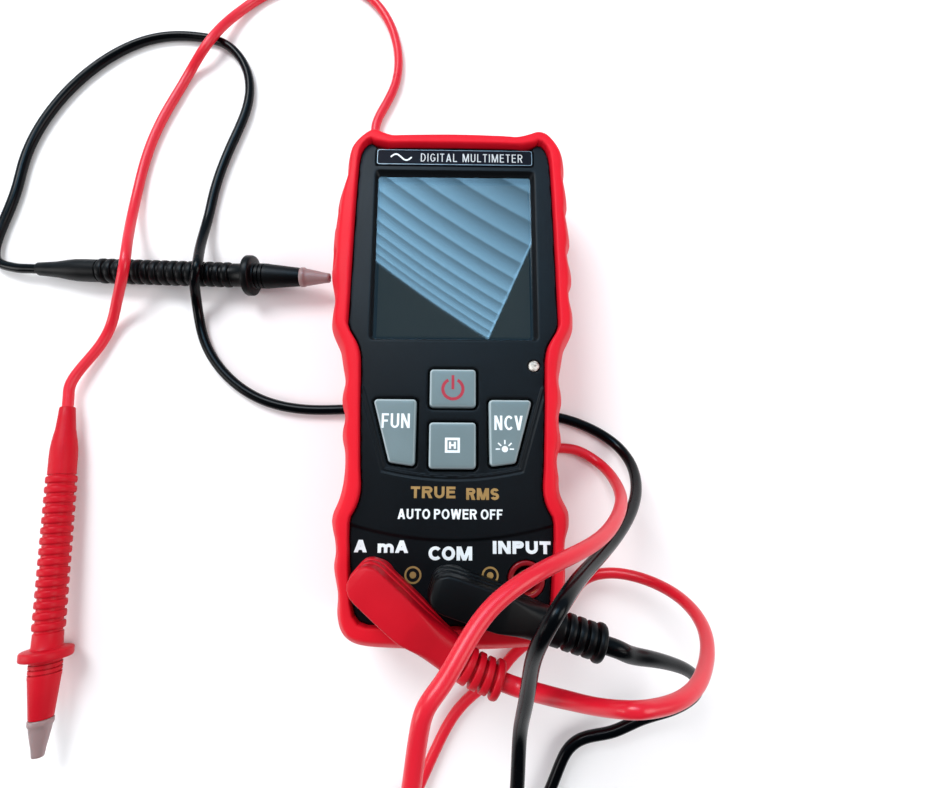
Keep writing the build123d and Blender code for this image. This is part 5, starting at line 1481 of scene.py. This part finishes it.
def light_card():
    """Overhead card seen only as a reflection in the display window."""
    height = 600.0
    eye_x, eye_y, eye_z = -0.6930, -37.6802, 196.2015     # the camera's place, to 0.0001
    mirrored_z = 2 * GLASS_TOP - eye_z
    share = (GLASS_TOP - mirrored_z) / (height - mirrored_z)
    left, right, low, high = VIEW_BOX
    uvs = [(-0.30, -0.02), (1.30, -0.02), (1.30, 1.25), (-0.30, 1.25)]
    verts = []
    for u, v in uvs:
        x, y = left + u * (right - left), low + v * (high - low)
        verts.append(tuple(Vector((eye_x + (x - eye_x) / share, eye_y + (y - eye_y) / share,
                                   height)) * MM))
    mesh = bpy.data.meshes.new("light_card")
    mesh.from_pydata(verts, [], [(0, 3, 2, 1)])
    layer = mesh.uv_layers.new(name="uv")
    for loop in mesh.loops:
        layer.data[loop.index].uv = uvs[loop.vertex_index]
    card = new_object("light_card", mesh, card_material())
    card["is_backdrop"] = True
    card.visible_camera = False
    card.visible_diffuse = False
    card.visible_shadow = False
    card.visible_transmission = False


def area_light(name, location, size, power, color=(1, 1, 1)):
    """Disc light aimed at the meter; metres and watts."""
    light = bpy.data.lights.new(name, "AREA")
    light.shape = "DISK"
    light.size = size
    light.energy = power
    light.color = color
    made = bpy.data.objects.new(name, light)
    bpy.context.scene.collection.objects.link(made)
    made.location = location
    aim = Vector((0, 0, 0.02)) - Vector(location)
    made.rotation_euler = aim.to_track_quat("-Z", "Y").to_euler()


def world():
    """Even pale surround; glossy rays see a blue one that brightens towards +Y."""
    made = bpy.data.worlds.new("world")
    bpy.context.scene.world = made
    made.use_nodes = True
    tree = made.node_tree
    plain = setup(tree.nodes["Background"], in_Color=(0.94, 0.96, 1.0, 1), in_Strength=0.62)
    direction = node(tree, "ShaderNodeTexCoord").outputs["Generated"]
    strength = map_range(tree, separate(tree, direction)["Y"], (-0.15, 0.55), (0.02, 0.60),
                         smooth=True)
    blue = node(tree, "ShaderNodeBackground", in_Color=(0.50, 0.76, 1.0, 1),
                in_Strength=strength)
    glossy = node(tree, "ShaderNodeLightPath").outputs["Is Glossy Ray"]
    setup(tree.nodes["World Output"],
          in_Surface=mix_shader(tree, glossy, plain.outputs[0], blue.outputs[0]))


def camera():
    """Camera over the low end of the meter, looking down; metres."""
    data = bpy.data.cameras.new("camera")
    made = bpy.data.objects.new("camera", data)
    scene.collection.objects.link(made)
    made.matrix_world = Matrix([
        [0.99991984, -0.00879784, -0.00910523, -0.00069297],
        [0.00689624, 0.98155014, -0.19108053, -0.03768025],
        [0.01061833, 0.19100242, 0.98153213, 0.19620153],
        [0.0, 0.0, 0.0, 1.0]])
    data.sensor_fit = "HORIZONTAL"
    data.sensor_width = 36.0
    data.lens = 20.2978723
    data.shift_x = 0.01542553191
    data.shift_y = -0.01276595745
    data.clip_start = 0.005
    data.clip_end = 10.0
    scene.camera = made


scene = bpy.context.scene
floor()
light_card()
area_light("key_light", (-0.40, 0.60, 0.80), size=0.5, power=8.0, color=(0.96, 0.98, 1.0))
area_light("fill_light", (0.75, -0.10, 0.6), size=0.6, power=4.0, color=(1.0, 0.99, 0.97))
area_light("low_left", (-0.7, -0.15, 0.35), size=0.4, power=2.0)
world()
scene.view_settings.view_transform = "Standard"
scene.view_settings.look = "None"
scene.view_settings.exposure = 0.0
camera()

VISUAL_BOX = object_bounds()
({name: [list(map(float, corner)) for corner in (box[0], box[1])]
           for name, box in (("cad", CAD_BOX), ("visual", VISUAL_BOX))})
